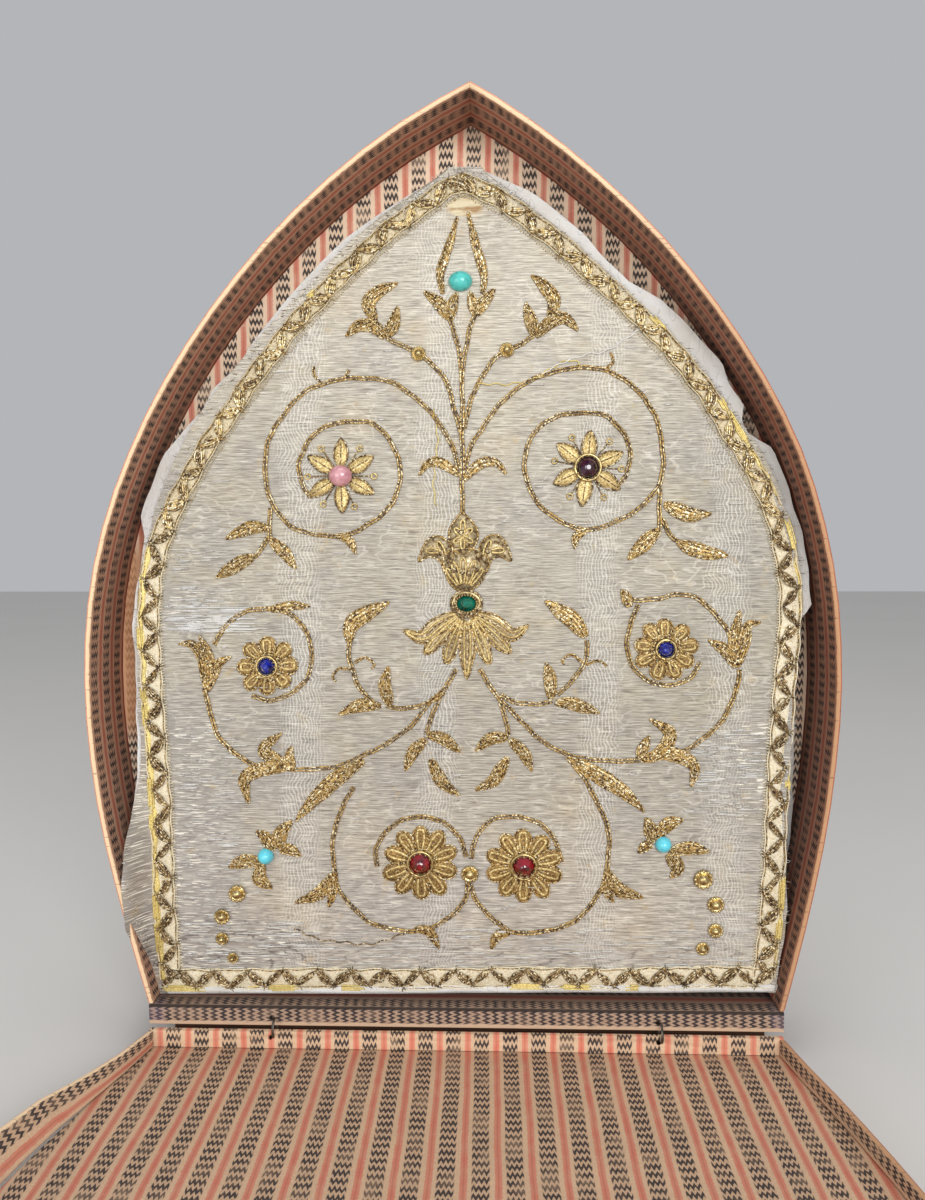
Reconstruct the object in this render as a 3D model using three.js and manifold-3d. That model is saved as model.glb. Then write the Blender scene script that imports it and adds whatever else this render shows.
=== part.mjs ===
// A bishop's mitre, folded flat in its pointed-arch case, with the case's lid let down in front of it.
// Millimetres, +Z up, X across, the front towards -Y. The origin is the middle of the case's underside.
import * as THREE from 'three';
import { mergeVertices } from 'three/addons/utils/BufferGeometryUtils.js';
import Module from 'manifold-3d';

const wasm = await Module();
wasm.setup();

// The case
const CASE_DEPTH = 41;
const FRONT = -CASE_DEPTH / 2;
const BACK = CASE_DEPTH / 2;
const BOARD = 3;
const WALL = 2.5;
const GAP = 0.3;
const FLOOR_HALF = 148;
const FLOOR_UNDER = 12.5;
const FLOOR_TOP = 21.7;
const PLINTH_HALF = 140;
const PLINTH_RECESS = 7.5;

// Outline of the case's rim: half its width at each height above the table
const CASE_ROWS = [
  { height: 12.5, half: 147.0 },
  { height: 22, half: 148.2 },
  { height: 51, half: 155.3 },
  { height: 82, half: 162.0 },
  { height: 111, half: 167.2 },
  { height: 140, half: 170.4 },
  { height: 167, half: 171.8 },
  { height: 195, half: 170.8 },
  { height: 222, half: 167.4 },
  { height: 249, half: 160.8 },
  { height: 275, half: 151.4 },
  { height: 301, half: 138.6 },
  { height: 327, half: 122.3 },
  { height: 353, half: 102.7 },
  { height: 378, half: 80.0 },
  { height: 403, half: 51.9 },
  { height: 422, half: 25.6 },
  { height: 437, half: 0 },
];

// The lid, and the two wire rings that hinge it
const LID_HEIGHT = 11.2;
const HINGE_Y = -20.6;
const HINGE_Z = 11.6;
const LID_SHIFT = HINGE_Y + HINGE_Z;
const RING_AT = 90;
const RING_RADIUS = 4.5;
const RING_WIRE = 0.6;
const RING_HOLE = 1.1;

// The mitre: it stands on its hem and leans back against the case
const HEM = 22;
const MITRE_TOP = 412;
const FACE_BOTTOM = FRONT + 10;
const FACE_LEAN = 18;
const LEAN_POWER = 1.2;
const HEM_RISE = 4.5;
const HORN = 2.2;
const LINING = 1.2;
const BACK_FACE = BACK - BOARD - GAP;
const APEX_X = -2;

// Half widths of the mitre's layers at each height
const MITRE_ROWS = [
  { height: 22, cloth: 143.5, lining: 138, braid: 139.5 },
  { height: 50, cloth: 150, lining: 141, braid: 142.5 },
  { height: 80, cloth: 152, lining: 144, braid: 143.6 },
  { height: 110, cloth: 153, lining: 147, braid: 144 },
  { height: 140, cloth: 153.5, lining: 151, braid: 145.7 },
  { height: 170, cloth: 154.5, lining: 155, braid: 147.4 },
  { height: 200, cloth: 155.5, lining: 158.5, braid: 148.4 },
  { height: 230, cloth: 151.5, lining: 155.5, braid: 144.8 },
  { height: 260, cloth: 144.5, lining: 149, braid: 137.4 },
  { height: 290, cloth: 129.5, lining: 131, braid: 123 },
  { height: 320, cloth: 110.5, lining: 111, braid: 103.5 },
  { height: 345, cloth: 91, lining: 91.5, braid: 83 },
  { height: 365, cloth: 70.5, lining: 70, braid: 62.2 },
  { height: 385, cloth: 48, lining: 47, braid: 41.2 },
  { height: 398, cloth: 31, lining: 29, braid: 23.3 },
  { height: 406, cloth: 19, lining: 15, braid: 0 },
  { height: 412, cloth: 8, lining: 2, braid: -16 },
];
const BRAID_WIDTH = 10.5;
const BRAID_THICK = 0.9;
const BRAID_LINE = 28;

// Stones and studs: place across and above the table, and their widths
const STONES = [
  { name: 'turquoise_top', x: -2.8, z: 358.7, wide: 11, tall: 9.2, cut: 'dome', color: 0x2fb5a8 },
  { name: 'pink_stone', x: -58.8, z: 269.2, wide: 11, tall: 10, cut: 'dome', color: 0xd98a98, on: 'pink_flower' },
  { name: 'purple_stone', x: 56.2, z: 272.6, wide: 10.4, tall: 10.4, cut: 'facet', color: 0x3c1830, on: 'purple_flower' },
  { name: 'green_stone', x: -0.1, z: 209.6, wide: 9.6, tall: 8, cut: 'facet', color: 0x0c6b50, rim: 2.2 },
  { name: 'blue_stone_left', x: -94.1, z: 180.1, wide: 8, tall: 8, cut: 'facet', color: 0x1030a0, on: 'blue_flower_left' },
  { name: 'blue_stone_right', x: 92.6, z: 188.4, wide: 7.6, tall: 7.6, cut: 'facet', color: 0x1030a0, on: 'blue_flower_right' },
  { name: 'red_stone_left', x: -22, z: 86.9, wide: 10.3, tall: 10.3, cut: 'facet', color: 0xa01020, on: 'red_flower_left' },
  { name: 'red_stone_right', x: 26.8, z: 85.9, wide: 10.4, tall: 10.4, cut: 'facet', color: 0xa01020, on: 'red_flower_right' },
  { name: 'turquoise_left', x: -95.6, z: 89.6, wide: 7.6, tall: 7.6, cut: 'dome', color: 0x45bfe0 },
  { name: 'turquoise_right', x: 92.1, z: 96.7, wide: 7.6, tall: 7.6, cut: 'dome', color: 0x45bfe0 },
];
const STUDS = [
  { name: 'stud_left_1', x: -109.5, z: 71.5, wide: 8.2 },
  { name: 'stud_left_2', x: -116.9, z: 60.3, wide: 7.4 },
  { name: 'stud_left_3', x: -117, z: 49.6, wide: 6.2 },
  { name: 'stud_left_4', x: -111.9, z: 40.3, wide: 5.2 },
  { name: 'stud_right_1', x: 110.9, z: 80.3, wide: 9 },
  { name: 'stud_right_2', x: 116.8, z: 68.4, wide: 7.8 },
  { name: 'stud_right_3', x: 116.8, z: 56, wide: 6.9 },
  { name: 'stud_right_4', x: 110.9, z: 47.3, wide: 6.2 },
  { name: 'stud_middle', x: 1.4, z: 81.9, wide: 8.2 },
  { name: 'stud_upper_left', x: -22.3, z: 325.5, wide: 6.8 },
  { name: 'stud_upper_right', x: 18.7, z: 326.9, wide: 6.8 },
];
const FLOWERS = [
  { name: 'pink_flower', x: -58.8, z: 269.2, radius: 17.2, petals: 6, point: 1, turn: 90 },
  { name: 'purple_flower', x: 56.2, z: 272.6, radius: 17.2, petals: 6, point: 1, turn: 84 },
  { name: 'blue_flower_left', x: -94.1, z: 180.1, radius: 14.4, petals: 10, point: 0, turn: 90 },
  { name: 'blue_flower_right', x: 92.6, z: 188.4, radius: 14.4, petals: 10, point: 0, turn: 90 },
  { name: 'red_flower_left', x: -22, z: 86.9, radius: 17.6, petals: 9, point: 0, turn: 90 },
  { name: 'red_flower_right', x: 26.8, z: 85.9, radius: 17.6, petals: 9, point: 0, turn: 90 },
];
const LILY = { x: -1, z: 223.5 };
const PALMETTE = { x: 0, z: 201 };
const PETAL_THICK = 1;
const SETTING_RIM = 1;
const SETTING_HIGH = 1.6;

const group = new THREE.Group();

function material(color, roughness, metalness) {
  return new THREE.MeshStandardMaterial({ color, roughness, metalness });
}

function add(name, geometry, look, parent = group) {
  const mesh = new THREE.Mesh(geometry, look);
  mesh.name = name;
  parent.add(mesh);
  return mesh;
}

// Joining and cutting solids
function solidOf(geometry) {
  const bare = geometry.clone();
  bare.deleteAttribute('normal');
  bare.deleteAttribute('uv');
  const merged = mergeVertices(bare, 1e-4);
  return new wasm.Manifold(new wasm.Mesh({
    numProp: 3,
    vertProperties: new Float32Array(merged.attributes.position.array),
    triVerts: new Uint32Array(merged.index.array),
  }));
}

function geometryOf(solid) {
  const mesh = solid.getMesh();
  const geometry = new THREE.BufferGeometry();
  geometry.setAttribute('position', new THREE.BufferAttribute(mesh.vertProperties, 3));
  geometry.setIndex(new THREE.BufferAttribute(mesh.triVerts, 1));
  return geometry;
}

function box(x0, x1, y0, y1, z0, z1) {
  const geometry = new THREE.BoxGeometry(x1 - x0, y1 - y0, z1 - z0);
  geometry.translate((x0 + x1) / 2, (y0 + y1) / 2, (z0 + z1) / 2);
  return geometry;
}

// A value of a table's column at a height, on a smooth curve through the rows
function at(rows, column, height) {
  let i = rows.findIndex((row) => row.height >= height);
  i = Math.min(Math.max(i, 1), rows.length - 1);
  const row = (k) => rows[Math.min(Math.max(k, 0), rows.length - 1)];
  const slope = (a, b) => (b[column] - a[column]) / Math.max(b.height - a.height, 1e-9);
  const low = row(i - 1);
  const high = row(i);
  const span = high.height - low.height;
  const t = (height - low.height) / span;
  const s0 = slope(row(i - 2), row(i)) * span;
  const s1 = slope(row(i - 1), row(i + 1)) * span;
  const t2 = t * t;
  const t3 = t2 * t;
  return (2 * t3 - 3 * t2 + 1) * low[column] + (t3 - 2 * t2 + t) * s0
    + (3 * t2 - 2 * t3) * high[column] + (t3 - t2) * s1;
}

// The right side of an outline from its foot to its point, moved inwards by an inset
function side(rows, column, foot, steps, inset) {
  const top = rows[rows.length - 1].height;
  const line = [];
  for (let k = 0; k <= steps; k += 1) {
    const z = foot + (top - foot) * (1 - (1 - k / steps) ** 1.25);
    line.push(new THREE.Vector2(at(rows, column, z), z));
  }
  const moved = line.map((p, k) => {
    const a = line[Math.max(k - 1, 0)];
    const b = line[Math.min(k + 1, steps)];
    const along = b.clone().sub(a).normalize();
    return new THREE.Vector2(p.x - along.y * inset, p.y + along.x * inset);
  });
  moved[0].y = foot;
  const kept = moved.filter((p) => p.x > 0);
  const last = kept[kept.length - 1];
  const next = moved[kept.length];
  if (next) {
    const t = last.x / (last.x - next.x);
    kept.push(new THREE.Vector2(0, last.y + (next.y - last.y) * t));
  }
  return kept;
}

// A flat board of the arch's outline, and one of its two curved walls, as shapes in X and height
function archShape(inset, foot) {
  const right = side(CASE_ROWS, 'half', foot, 26, inset);
  const left = right.slice(0, -1).reverse().map((p) => new THREE.Vector2(-p.x, p.y));
  return new THREE.Shape([...right, ...left]);
}

function wallShape(foot, sign) {
  const clear = (p) => new THREE.Vector2(Math.max(p.x, GAP / 2) * sign, p.y);
  const outer = side(CASE_ROWS, 'half', foot, 26, 0).map(clear);
  const inner = side(CASE_ROWS, 'half', foot, 26, WALL).map(clear).reverse();
  return new THREE.Shape([...outer, ...inner]);
}

// Extrusions that stand up in the case, or lie in the lid
function standing(shape, y0, y1) {
  const geometry = new THREE.ExtrudeGeometry(shape, { depth: y1 - y0, bevelEnabled: false });
  geometry.rotateX(Math.PI / 2);
  geometry.translate(0, y1, 0);
  return geometry;
}

function lying(shape, z0, z1) {
  const geometry = new THREE.ExtrudeGeometry(shape, { depth: z1 - z0, bevelEnabled: false });
  geometry.scale(1, -1, 1);
  flipTriangles(geometry);
  geometry.translate(0, LID_SHIFT, z0);
  return geometry;
}

function flipTriangles(geometry) {
  const place = geometry.attributes.position;
  const corner = new THREE.Vector3();
  const other = new THREE.Vector3();
  for (let k = 0; k < place.count; k += 3) {
    corner.fromBufferAttribute(place, k + 1);
    other.fromBufferAttribute(place, k + 2);
    place.setXYZ(k + 1, other.x, other.y, other.z);
    place.setXYZ(k + 2, corner.x, corner.y, corner.z);
  }
}

// The ring's solid, also used fatter to bore the hole that it hangs in
function ring(x, wire, sides, turns) {
  const geometry = new THREE.TorusGeometry(RING_RADIUS, wire, sides, turns);
  geometry.rotateY(Math.PI / 2);
  geometry.translate(x, HINGE_Y, HINGE_Z);
  return geometry;
}

function bored(geometry) {
  let solid = solidOf(geometry);
  for (const x of [-RING_AT, RING_AT]) {
    solid = solid.subtract(solidOf(ring(x, RING_HOLE, 6, 24)));
  }
  return geometryOf(solid);
}

// How far back the mitre's face is, and how its hem runs uphill to the right
function faceAt(height) {
  const u = Math.max((height - HEM) / (MITRE_TOP - HEM), 0);
  return FACE_BOTTOM + FACE_LEAN * u ** LEAN_POWER;
}

function uphill(x, height) {
  const u = Math.min(Math.max((height - HEM) / (MITRE_TOP - HEM), 0), 1);
  return height + (HEM_RISE / 2) * (1 + x / MITRE_ROWS[0].cloth) * (1 - u);
}

function slopeAt(height) {
  return faceAt(height + 1) - faceAt(height);
}

// A closed solid between stations of four corners each
function loft(stations) {
  const points = stations.flat();
  const triangles = [];
  const quad = (a, b, c, d) => triangles.push(a, b, c, a, c, d);
  for (let k = 0; k + 1 < stations.length; k += 1) {
    const low = 4 * k;
    const high = low + 4;
    for (let e = 0; e < 4; e += 1) {
      const f = (e + 1) % 4;
      quad(low + e, low + f, high + f, high + e);
    }
  }
  const end = 4 * (stations.length - 1);
  quad(3, 2, 1, 0);
  quad(end, end + 1, end + 2, end + 3);
  const geometry = new THREE.BufferGeometry();
  geometry.setAttribute('position', new THREE.Float32BufferAttribute(points.flat(), 3));
  geometry.setIndex(triangles);
  return geometry;
}

// A panel of the mitre between two depths that change with height
function panel(column, frontAt, backAt, foot, trim) {
  const heights = [];
  for (let z = foot; z < MITRE_TOP; z += 13) {
    heights.push(z);
  }
  heights.push(MITRE_TOP - trim);
  return loft(heights.map((z) => {
    const half = Math.max(at(MITRE_ROWS, column, z) - trim, 0.6);
    const corner = (x, depth) => [x + APEX_X * ((z - HEM) / (MITRE_TOP - HEM)), depth(z), uphill(x, z)];
    return [corner(-half, frontAt), corner(half, frontAt), corner(half, backAt), corner(-half, backAt)];
  }));
}

function liningSleeve() {
  const front = (z) => faceAt(z) + HORN + GAP;
  const back = () => BACK_FACE - HORN - GAP;
  const outside = solidOf(panel('lining', front, back, HEM, 0));
  const insideFront = (z) => front(z) + LINING;
  const insideBack = () => back() - LINING;
  const inside = solidOf(panel('lining', insideFront, insideBack, HEM - 8, LINING));
  return geometryOf(outside.subtract(inside));
}

// Braid up one side to the point, cut on the middle line, and the braid along the hem
function braidSide(sign) {
  const centre = side(MITRE_ROWS, 'braid', BRAID_LINE + BRAID_WIDTH / 2 + 1, 34, 0);
  const last = centre[centre.length - 1];
  const before = centre[centre.length - 2];
  centre.push(last.clone().add(last.clone().sub(before).normalize().multiplyScalar(BRAID_WIDTH)));
  const stations = centre.map((p, k) => {
    const a = centre[Math.max(k - 1, 0)];
    const b = centre[Math.min(k + 1, centre.length - 1)];
    const along = b.clone().sub(a).normalize();
    const corner = (across, depth) => {
      const x = (p.x + along.y * across) * sign;
      const z = p.y - along.x * across;
      return [x, faceAt(z) - depth, uphill(x, z)];
    };
    const out = BRAID_WIDTH / 2;
    const front = GAP + BRAID_THICK;
    const ring4 = [corner(-out, front), corner(out, front), corner(out, GAP), corner(-out, GAP)];
    return sign > 0 ? ring4 : [ring4[1], ring4[0], ring4[3], ring4[2]];
  });
  const strip = solidOf(loft(stations));
  const beyond = sign > 0 ? box(-60, GAP / 2, -40, 40, 300, 460) : box(-GAP / 2, 60, -40, 40, 300, 460);
  const cut = geometryOf(strip.subtract(solidOf(beyond)));
  cut.translate(APEX_X / 2, 0, 0);
  return cut;
}

function braidHem() {
  const half = at(MITRE_ROWS, 'braid', BRAID_LINE) + APEX_X / 2 - 0.5 + BRAID_WIDTH / 2;
  const stations = [];
  for (let k = 0; k <= 12; k += 1) {
    const x = -half + (2 * half * k) / 12;
    const corner = (rise, depth) => {
      const z = BRAID_LINE + rise;
      return [x, faceAt(z) - depth, uphill(x, z)];
    };
    const out = BRAID_WIDTH / 2;
    const front = GAP + BRAID_THICK;
    stations.push([corner(-out, GAP), corner(out, GAP), corner(out, front), corner(-out, front)]);
  }
  return loft(stations);
}

// A group whose X and Y lie in the cloth and whose Z points out of it
function onCloth(x, z, lift) {
  const seat = new THREE.Group();
  seat.rotation.x = Math.PI / 2 - Math.atan(slopeAt(z));
  seat.position.set(x, faceAt(z), z);
  seat.translateZ(lift);
  group.add(seat);
  return seat;
}

function roundSolid(profile, segments) {
  const geometry = new THREE.LatheGeometry(profile.map(([r, z]) => new THREE.Vector2(r, z)), segments);
  geometry.rotateX(Math.PI / 2);
  return geometry;
}

function flowerShape({ radius, petals, point, turn }) {
  const outline = [];
  const steps = petals * 8;
  for (let k = 0; k < steps; k += 1) {
    const angle = (k / steps) * 2 * Math.PI;
    const swing = (1 + Math.cos(petals * angle)) / 2;
    const reach = point ? 0.42 + 0.58 * swing ** 1.6 : 0.8 + 0.2 * swing ** 0.6;
    const a = angle + (turn * Math.PI) / 180;
    outline.push(new THREE.Vector2(radius * reach * Math.cos(a), radius * reach * Math.sin(a)));
  }
  return new THREE.Shape(outline);
}

function plate(shape, thick) {
  return new THREE.ExtrudeGeometry(shape, { depth: thick, bevelEnabled: false });
}

// The lily's petals stand up from its cup; the palmette's lobes hang in a fan
function fanShape(lobes) {
  const outline = [];
  for (const { angle, reach, half } of lobes) {
    for (const [turn, part] of [[-half, 0.55], [-half * 0.7, 0.85], [0, 1], [half * 0.7, 0.85], [half, 0.55]]) {
      const a = ((angle + turn) * Math.PI) / 180;
      outline.push(new THREE.Vector2(reach * part * Math.cos(a), reach * part * Math.sin(a)));
    }
  }
  return new THREE.Shape(outline);
}

const LILY_LOBES = [
  { angle: -40, reach: 6.5, half: 22 },
  { angle: 38, reach: 24, half: 20 },
  { angle: 90, reach: 28.5, half: 18 },
  { angle: 142, reach: 25, half: 20 },
  { angle: 220, reach: 6.5, half: 22 },
];
const PALMETTE_LOBES = [
  { angle: 188, reach: 30, half: 11 },
  { angle: 214, reach: 22, half: 11 },
  { angle: 242, reach: 20, half: 11 },
  { angle: 270, reach: 26, half: 12 },
  { angle: 298, reach: 20, half: 11 },
  { angle: 326, reach: 22, half: 11 },
  { angle: 352, reach: 30, half: 11 },
];

function settingFor(stone, lift) {
  const inner = stone.wide / 2 + GAP;
  const outer = inner + (stone.rim ?? SETTING_RIM);
  const high = SETTING_HIGH;
  const rim = roundSolid([[inner, 0], [outer, 0], [outer - 0.3, high], [inner, high], [inner, 0]], 20);
  rim.scale(1, stone.tall / stone.wide, 1);
  add(`${stone.name}_setting`, rim, material(0xb08d3c, 0.35, 1), onCloth(stone.x, stone.z, lift));
}

function buildStone(stone) {
  const half = stone.wide / 2;
  const lift = stone.on ? GAP + PETAL_THICK + GAP : GAP;
  const dome = [[0, 0], [half * 0.94, 0], [half, 0.8], [half * 0.92, 2.2], [half * 0.7, 3.5],
    [half * 0.38, 4.3], [0, 4.5]];
  const facet = [[0, 0], [half * 0.8, 0], [half, 1.5], [half * 0.78, 2.9], [half * 0.5, 3.4], [0, 3.4]];
  const geometry = roundSolid(stone.cut === 'dome' ? dome : facet, stone.cut === 'dome' ? 20 : 12);
  geometry.scale(1, stone.tall / stone.wide, 1);
  add(stone.name, geometry, material(stone.color, 0.15, 0), onCloth(stone.x, stone.z, lift));
  if (stone.cut === 'facet') {
    settingFor(stone, lift);
  }
}

function buildStud({ name, x, z, wide }) {
  const r = wide / 2;
  const profile = [[0, 0], [r * 0.86, 0], [r, 0.5], [r, 1.1], [r * 0.8, 1.6], [r * 0.66, 1.2],
    [r * 0.58, 1.9], [r * 0.4, 2.7], [r * 0.2, 3.1], [0, 3.2]];
  add(name, roundSolid(profile, 20), material(0xb8923a, 0.3, 1), onCloth(x, z, GAP));
}

function buildCase() {
  const paper = material(0xb9967a, 0.85, 0);
  const floor = box(-FLOOR_HALF, FLOOR_HALF, FRONT, BACK, FLOOR_UNDER, FLOOR_TOP);
  add('case_floor', bored(floor), paper);
  const plinth = box(-PLINTH_HALF, PLINTH_HALF, FRONT + PLINTH_RECESS, BACK, 0, FLOOR_UNDER - GAP);
  add('case_plinth', plinth, material(0x4a3326, 0.8, 0));
  const foot = FLOOR_TOP + GAP;
  add('case_back_panel', standing(archShape(WALL + GAP, foot), BACK - BOARD, BACK), paper);
  add('case_wall_left', standing(wallShape(foot, -1), FRONT, BACK), paper);
  add('case_wall_right', standing(wallShape(foot, 1), FRONT, BACK), paper);
}

function buildLid() {
  const paper = material(0xb9967a, 0.85, 0);
  add('lid_panel', lying(archShape(0, FLOOR_UNDER), 0, BOARD), paper);
  const foot = FLOOR_UNDER + WALL + GAP;
  add('lid_wall_left', lying(wallShape(foot, -1), BOARD + GAP, LID_HEIGHT), paper);
  add('lid_wall_right', lying(wallShape(foot, 1), BOARD + GAP, LID_HEIGHT), paper);
  const edge = LID_SHIFT - FLOOR_UNDER;
  const half = at(CASE_ROWS, 'half', FLOOR_UNDER);
  add('lid_hinge_wall', bored(box(-half, half, edge - WALL, edge, BOARD + GAP, LID_HEIGHT)), paper);
}

function buildHinge() {
  for (const [name, x] of [['hinge_ring_left', -RING_AT], ['hinge_ring_right', RING_AT]]) {
    add(name, ring(x, RING_WIRE, 6, 24), material(0x6d6a66, 0.45, 1));
  }
}

function buildMitre() {
  const silver = material(0xb9b5ab, 0.5, 0.3);
  const gold = material(0xa8894a, 0.4, 0.9);
  const frontBack = (z) => faceAt(z) + HORN;
  add('front_horn', panel('cloth', faceAt, frontBack, HEM, 0), silver);
  add('back_horn', panel('cloth', () => BACK_FACE - HORN, () => BACK_FACE, HEM, 0), silver);
  add('lining', liningSleeve(), material(0xe6e0d4, 0.9, 0));
  add('braid_left', braidSide(-1), gold);
  add('braid_right', braidSide(1), gold);
  add('braid_hem', braidHem(), gold);
  for (const flower of FLOWERS) {
    add(flower.name, plate(flowerShape(flower), PETAL_THICK), gold, onCloth(flower.x, flower.z, GAP));
  }
  add('lily', plate(fanShape(LILY_LOBES), PETAL_THICK), gold, onCloth(LILY.x, LILY.z, GAP));
  add('palmette', plate(fanShape(PALMETTE_LOBES), PETAL_THICK), gold, onCloth(PALMETTE.x, PALMETTE.z, GAP));
  STONES.forEach(buildStone);
  STUDS.forEach(buildStud);
}

buildCase();
buildLid();
buildHinge();
buildMitre();

export default group;
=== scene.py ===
"""A bishop's mitre of silver cloth with gold embroidery, folded flat in its paper-lined case.

Tables and helper sizes are in millimetres. Meshes are made in metres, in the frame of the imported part.
"""

import math
import random

import bpy
import numpy as np
from mathutils import Matrix


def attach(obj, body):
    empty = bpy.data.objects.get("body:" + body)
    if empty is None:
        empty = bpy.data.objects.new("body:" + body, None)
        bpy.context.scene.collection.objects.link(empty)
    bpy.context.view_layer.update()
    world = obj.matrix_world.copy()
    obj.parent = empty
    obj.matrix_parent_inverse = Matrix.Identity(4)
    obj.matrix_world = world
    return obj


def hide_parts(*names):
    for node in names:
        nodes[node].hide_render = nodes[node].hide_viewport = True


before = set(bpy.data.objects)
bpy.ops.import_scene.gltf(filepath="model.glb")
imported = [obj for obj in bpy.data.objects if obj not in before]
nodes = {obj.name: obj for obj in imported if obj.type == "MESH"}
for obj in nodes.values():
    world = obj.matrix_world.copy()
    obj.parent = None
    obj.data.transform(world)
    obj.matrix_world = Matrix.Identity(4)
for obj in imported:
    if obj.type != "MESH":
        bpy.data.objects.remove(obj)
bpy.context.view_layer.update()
MM = 0.001
rng = random.Random(12)

# The camera
CAMERA_PLACE = (10.9, -434.7, 246.2)
CAMERA_RIGHT = (0.99956, 0.02959, -0.0024)
CAMERA_UP = (0.0, 0.08069, 0.99674)
CAMERA_BACK = (0.02968, -0.9963, 0.08066)


def set_camera():
    lens = bpy.data.cameras.new("camera")
    lens.lens = 27.78
    lens.sensor_fit = "VERTICAL"
    lens.sensor_height = 36
    lens.clip_start = 0.01
    holder = bpy.data.objects.new("camera", lens)
    bpy.context.scene.collection.objects.link(holder)
    columns = [CAMERA_RIGHT, CAMERA_UP, CAMERA_BACK, [v * MM for v in CAMERA_PLACE]]
    holder.matrix_world = Matrix([[c[row] for c in columns] for row in range(3)] + [[0, 0, 0, 1]])
    bpy.context.scene.camera = holder


# Sizes of the part
FRONT = -20.5  # front edge of the case
HEM, TOP = 22.0, 412.0
HEM_RISE, HEM_HALF = 4.5, 143.5
LID_SHIFT = -9.0  # where the lid's foot lies when it is open
BOARD_HALF = 1.25
BRAID_FOOT = 29.3  # height of the hem braid's middle line

# How far each layer reaches from the middle: height, cloth, lining, middle line of the braid, back of the mitre
MIDDLE_X = -1.0
LEFT_ROWS = [
    (22, 150, 143, 140.1, 146), (40, 153.5, 148, 141.9, 148), (60, 157, 152, 143.3, 151),
    (80, 159.5, 157.5, 143.9, 152),
    (100, 158, 160.5, 144.2, 153), (120, 156.3, 158, 145, 154), (140, 153.8, 156.5, 146.4, 154),
    (160, 154.3, 156.4, 147.6, 154), (180, 154.6, 157, 148.6, 154.5), (200, 155.8, 158, 149.4, 155),
    (220, 153, 156, 148.2, 152), (240, 149.2, 152, 143.5, 148), (250, 146.5, 153.5, 139, 145),
    (260, 143.4, 150.5, 133.9, 142), (280, 134.3, 141.8, 123.1, 133), (290, 128.5, 132.5, 116, 127),
    (300, 122.5, 123.5, 109, 121), (310, 115.5, 119, 102, 114), (320, 107.6, 108.5, 94.8, 106),
    (340, 90.6, 93.5, 78.4, 90), (360, 70.6, 76, 58.9, 70), (380, 49.5, 54.5, 37.8, 49), (400, 22, 25, 10, 21),
    (406, 13, 14, 0, 12), (412, 3.5, 4, -6, 3),
]
RIGHT_ROWS = [
    (22, 146, 141, 140.1, 146), (40, 149, 146.5, 141.9, 150), (60, 151.5, 152.5, 143.8, 154),
    (80, 150.5, 150, 144.5, 158),
    (100, 149.2, 149.6, 145.4, 159.5), (120, 149.8, 150.2, 145.8, 160), (140, 151.7, 152.1, 146.7, 160),
    (160, 152.6, 153, 148.2, 160), (180, 152.8, 153.4, 149.3, 160), (198, 154.3, 154.6, 150.8, 158),
    (206, 155.5, 161, 150.9, 156), (220, 155.3, 159.7, 150, 154), (240, 151.6, 157, 146.5, 150),
    (260, 146, 151.5, 139.1, 144), (270, 141.5, 147.5, 133.5, 139), (280, 136, 142.4, 127.6, 134),
    (286, 131, 132, 123.5, 130), (292, 127.5, 128.5, 120, 126), (300, 122, 129, 115.3, 120),
    (310, 115, 122.5, 108.5, 113), (320, 107.4, 118.5, 100.9, 105), (340, 89, 101.4, 82.3, 88),
    (350, 79, 91.5, 72, 78), (358, 70, 76.5, 62.5, 68), (370, 57.5, 64, 50, 56), (380, 46, 55.5, 38, 45),
    (390, 34, 44.5, 25, 33), (400, 20.5, 31, 10, 20), (406, 12.5, 18, 0, 12), (412, 4, 5, -6, 3),
]
# height: half width of the case
CASE_ROWS = [
    (12.5, 147.0), (22, 148.2), (51, 155.3), (82, 162.0), (111, 167.2), (140, 170.4), (167, 171.8),
    (195, 170.8), (222, 167.4), (249, 160.8), (275, 151.4), (301, 138.6), (327, 122.3), (353, 102.7),
    (378, 80.0), (403, 51.9), (422, 25.6), (437, 0),
]
# How far the old case leans to one side at each height
LEAN_ROWS = [(12.5, -1.4), (60, -2.1), (100, -2.9), (140, -3.3), (200, -3.3), (240, -2.7), (280, -1.7), (340, -1.5),
             (400, -0.8), (420, 0.2), (437, 2.6)]
# How far the lid's left wall has sagged outwards: place along the lid, degrees, and times taller
SAG_ROWS = [(-5, 0, 1), (20, 0, 1), (48, 22, 1.07), (66, 32, 1.5), (85, 42, 1.85), (180, 44, 1.85), (290, 27, 1.3),
            (312, 22, 1.07), (400, 0, 1), (440, 0, 1)]


def at(rows, column, height):
    """A column of a table at a height, on straight lines softened by averaging close by."""
    heights = [r[0] for r in rows]
    values = [r[column] for r in rows]
    spread = [np.interp(np.asarray(height, float) + d, heights, values) for d in (-6, -3, 0, 3, 6)]
    return sum(spread) / 5


def reach(side, column, height):
    """How far a layer of the mitre reaches to the left (-1) or the right (1) of its middle."""
    rows = LEFT_ROWS if side < 0 else RIGHT_ROWS
    if column == 2:  # the lining is torn in steps
        return np.interp(height, [r[0] for r in rows], [r[2] for r in rows])
    return at(rows, column, height)


def climb(height):
    """From 0 at the hem to 1 at the point."""
    return np.clip((np.asarray(height, float) - HEM) / (TOP - HEM), 0, 1)


def uphill(x, height):
    """The hem runs a little uphill to the right."""
    return height + (HEM_RISE / 2) * (1 + x / HEM_HALF) * (1 - climb(height))


def face(z):
    """Depth of the mitre's front, which leans back in the case."""
    return FRONT + 10 + 18 * climb(z) ** 1.2


def ripple(x, z):
    """Slight waves in the old cloth."""
    return (0.28 * np.sin(x / 21 + z / 47) + 0.2 * np.sin(x / 37 - z / 18 + 1.3)
            + 0.1 * np.sin(x / 9 + z / 11))


def cloth_y(x, z):
    return face(z) + ripple(x, z) * 0.8


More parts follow.
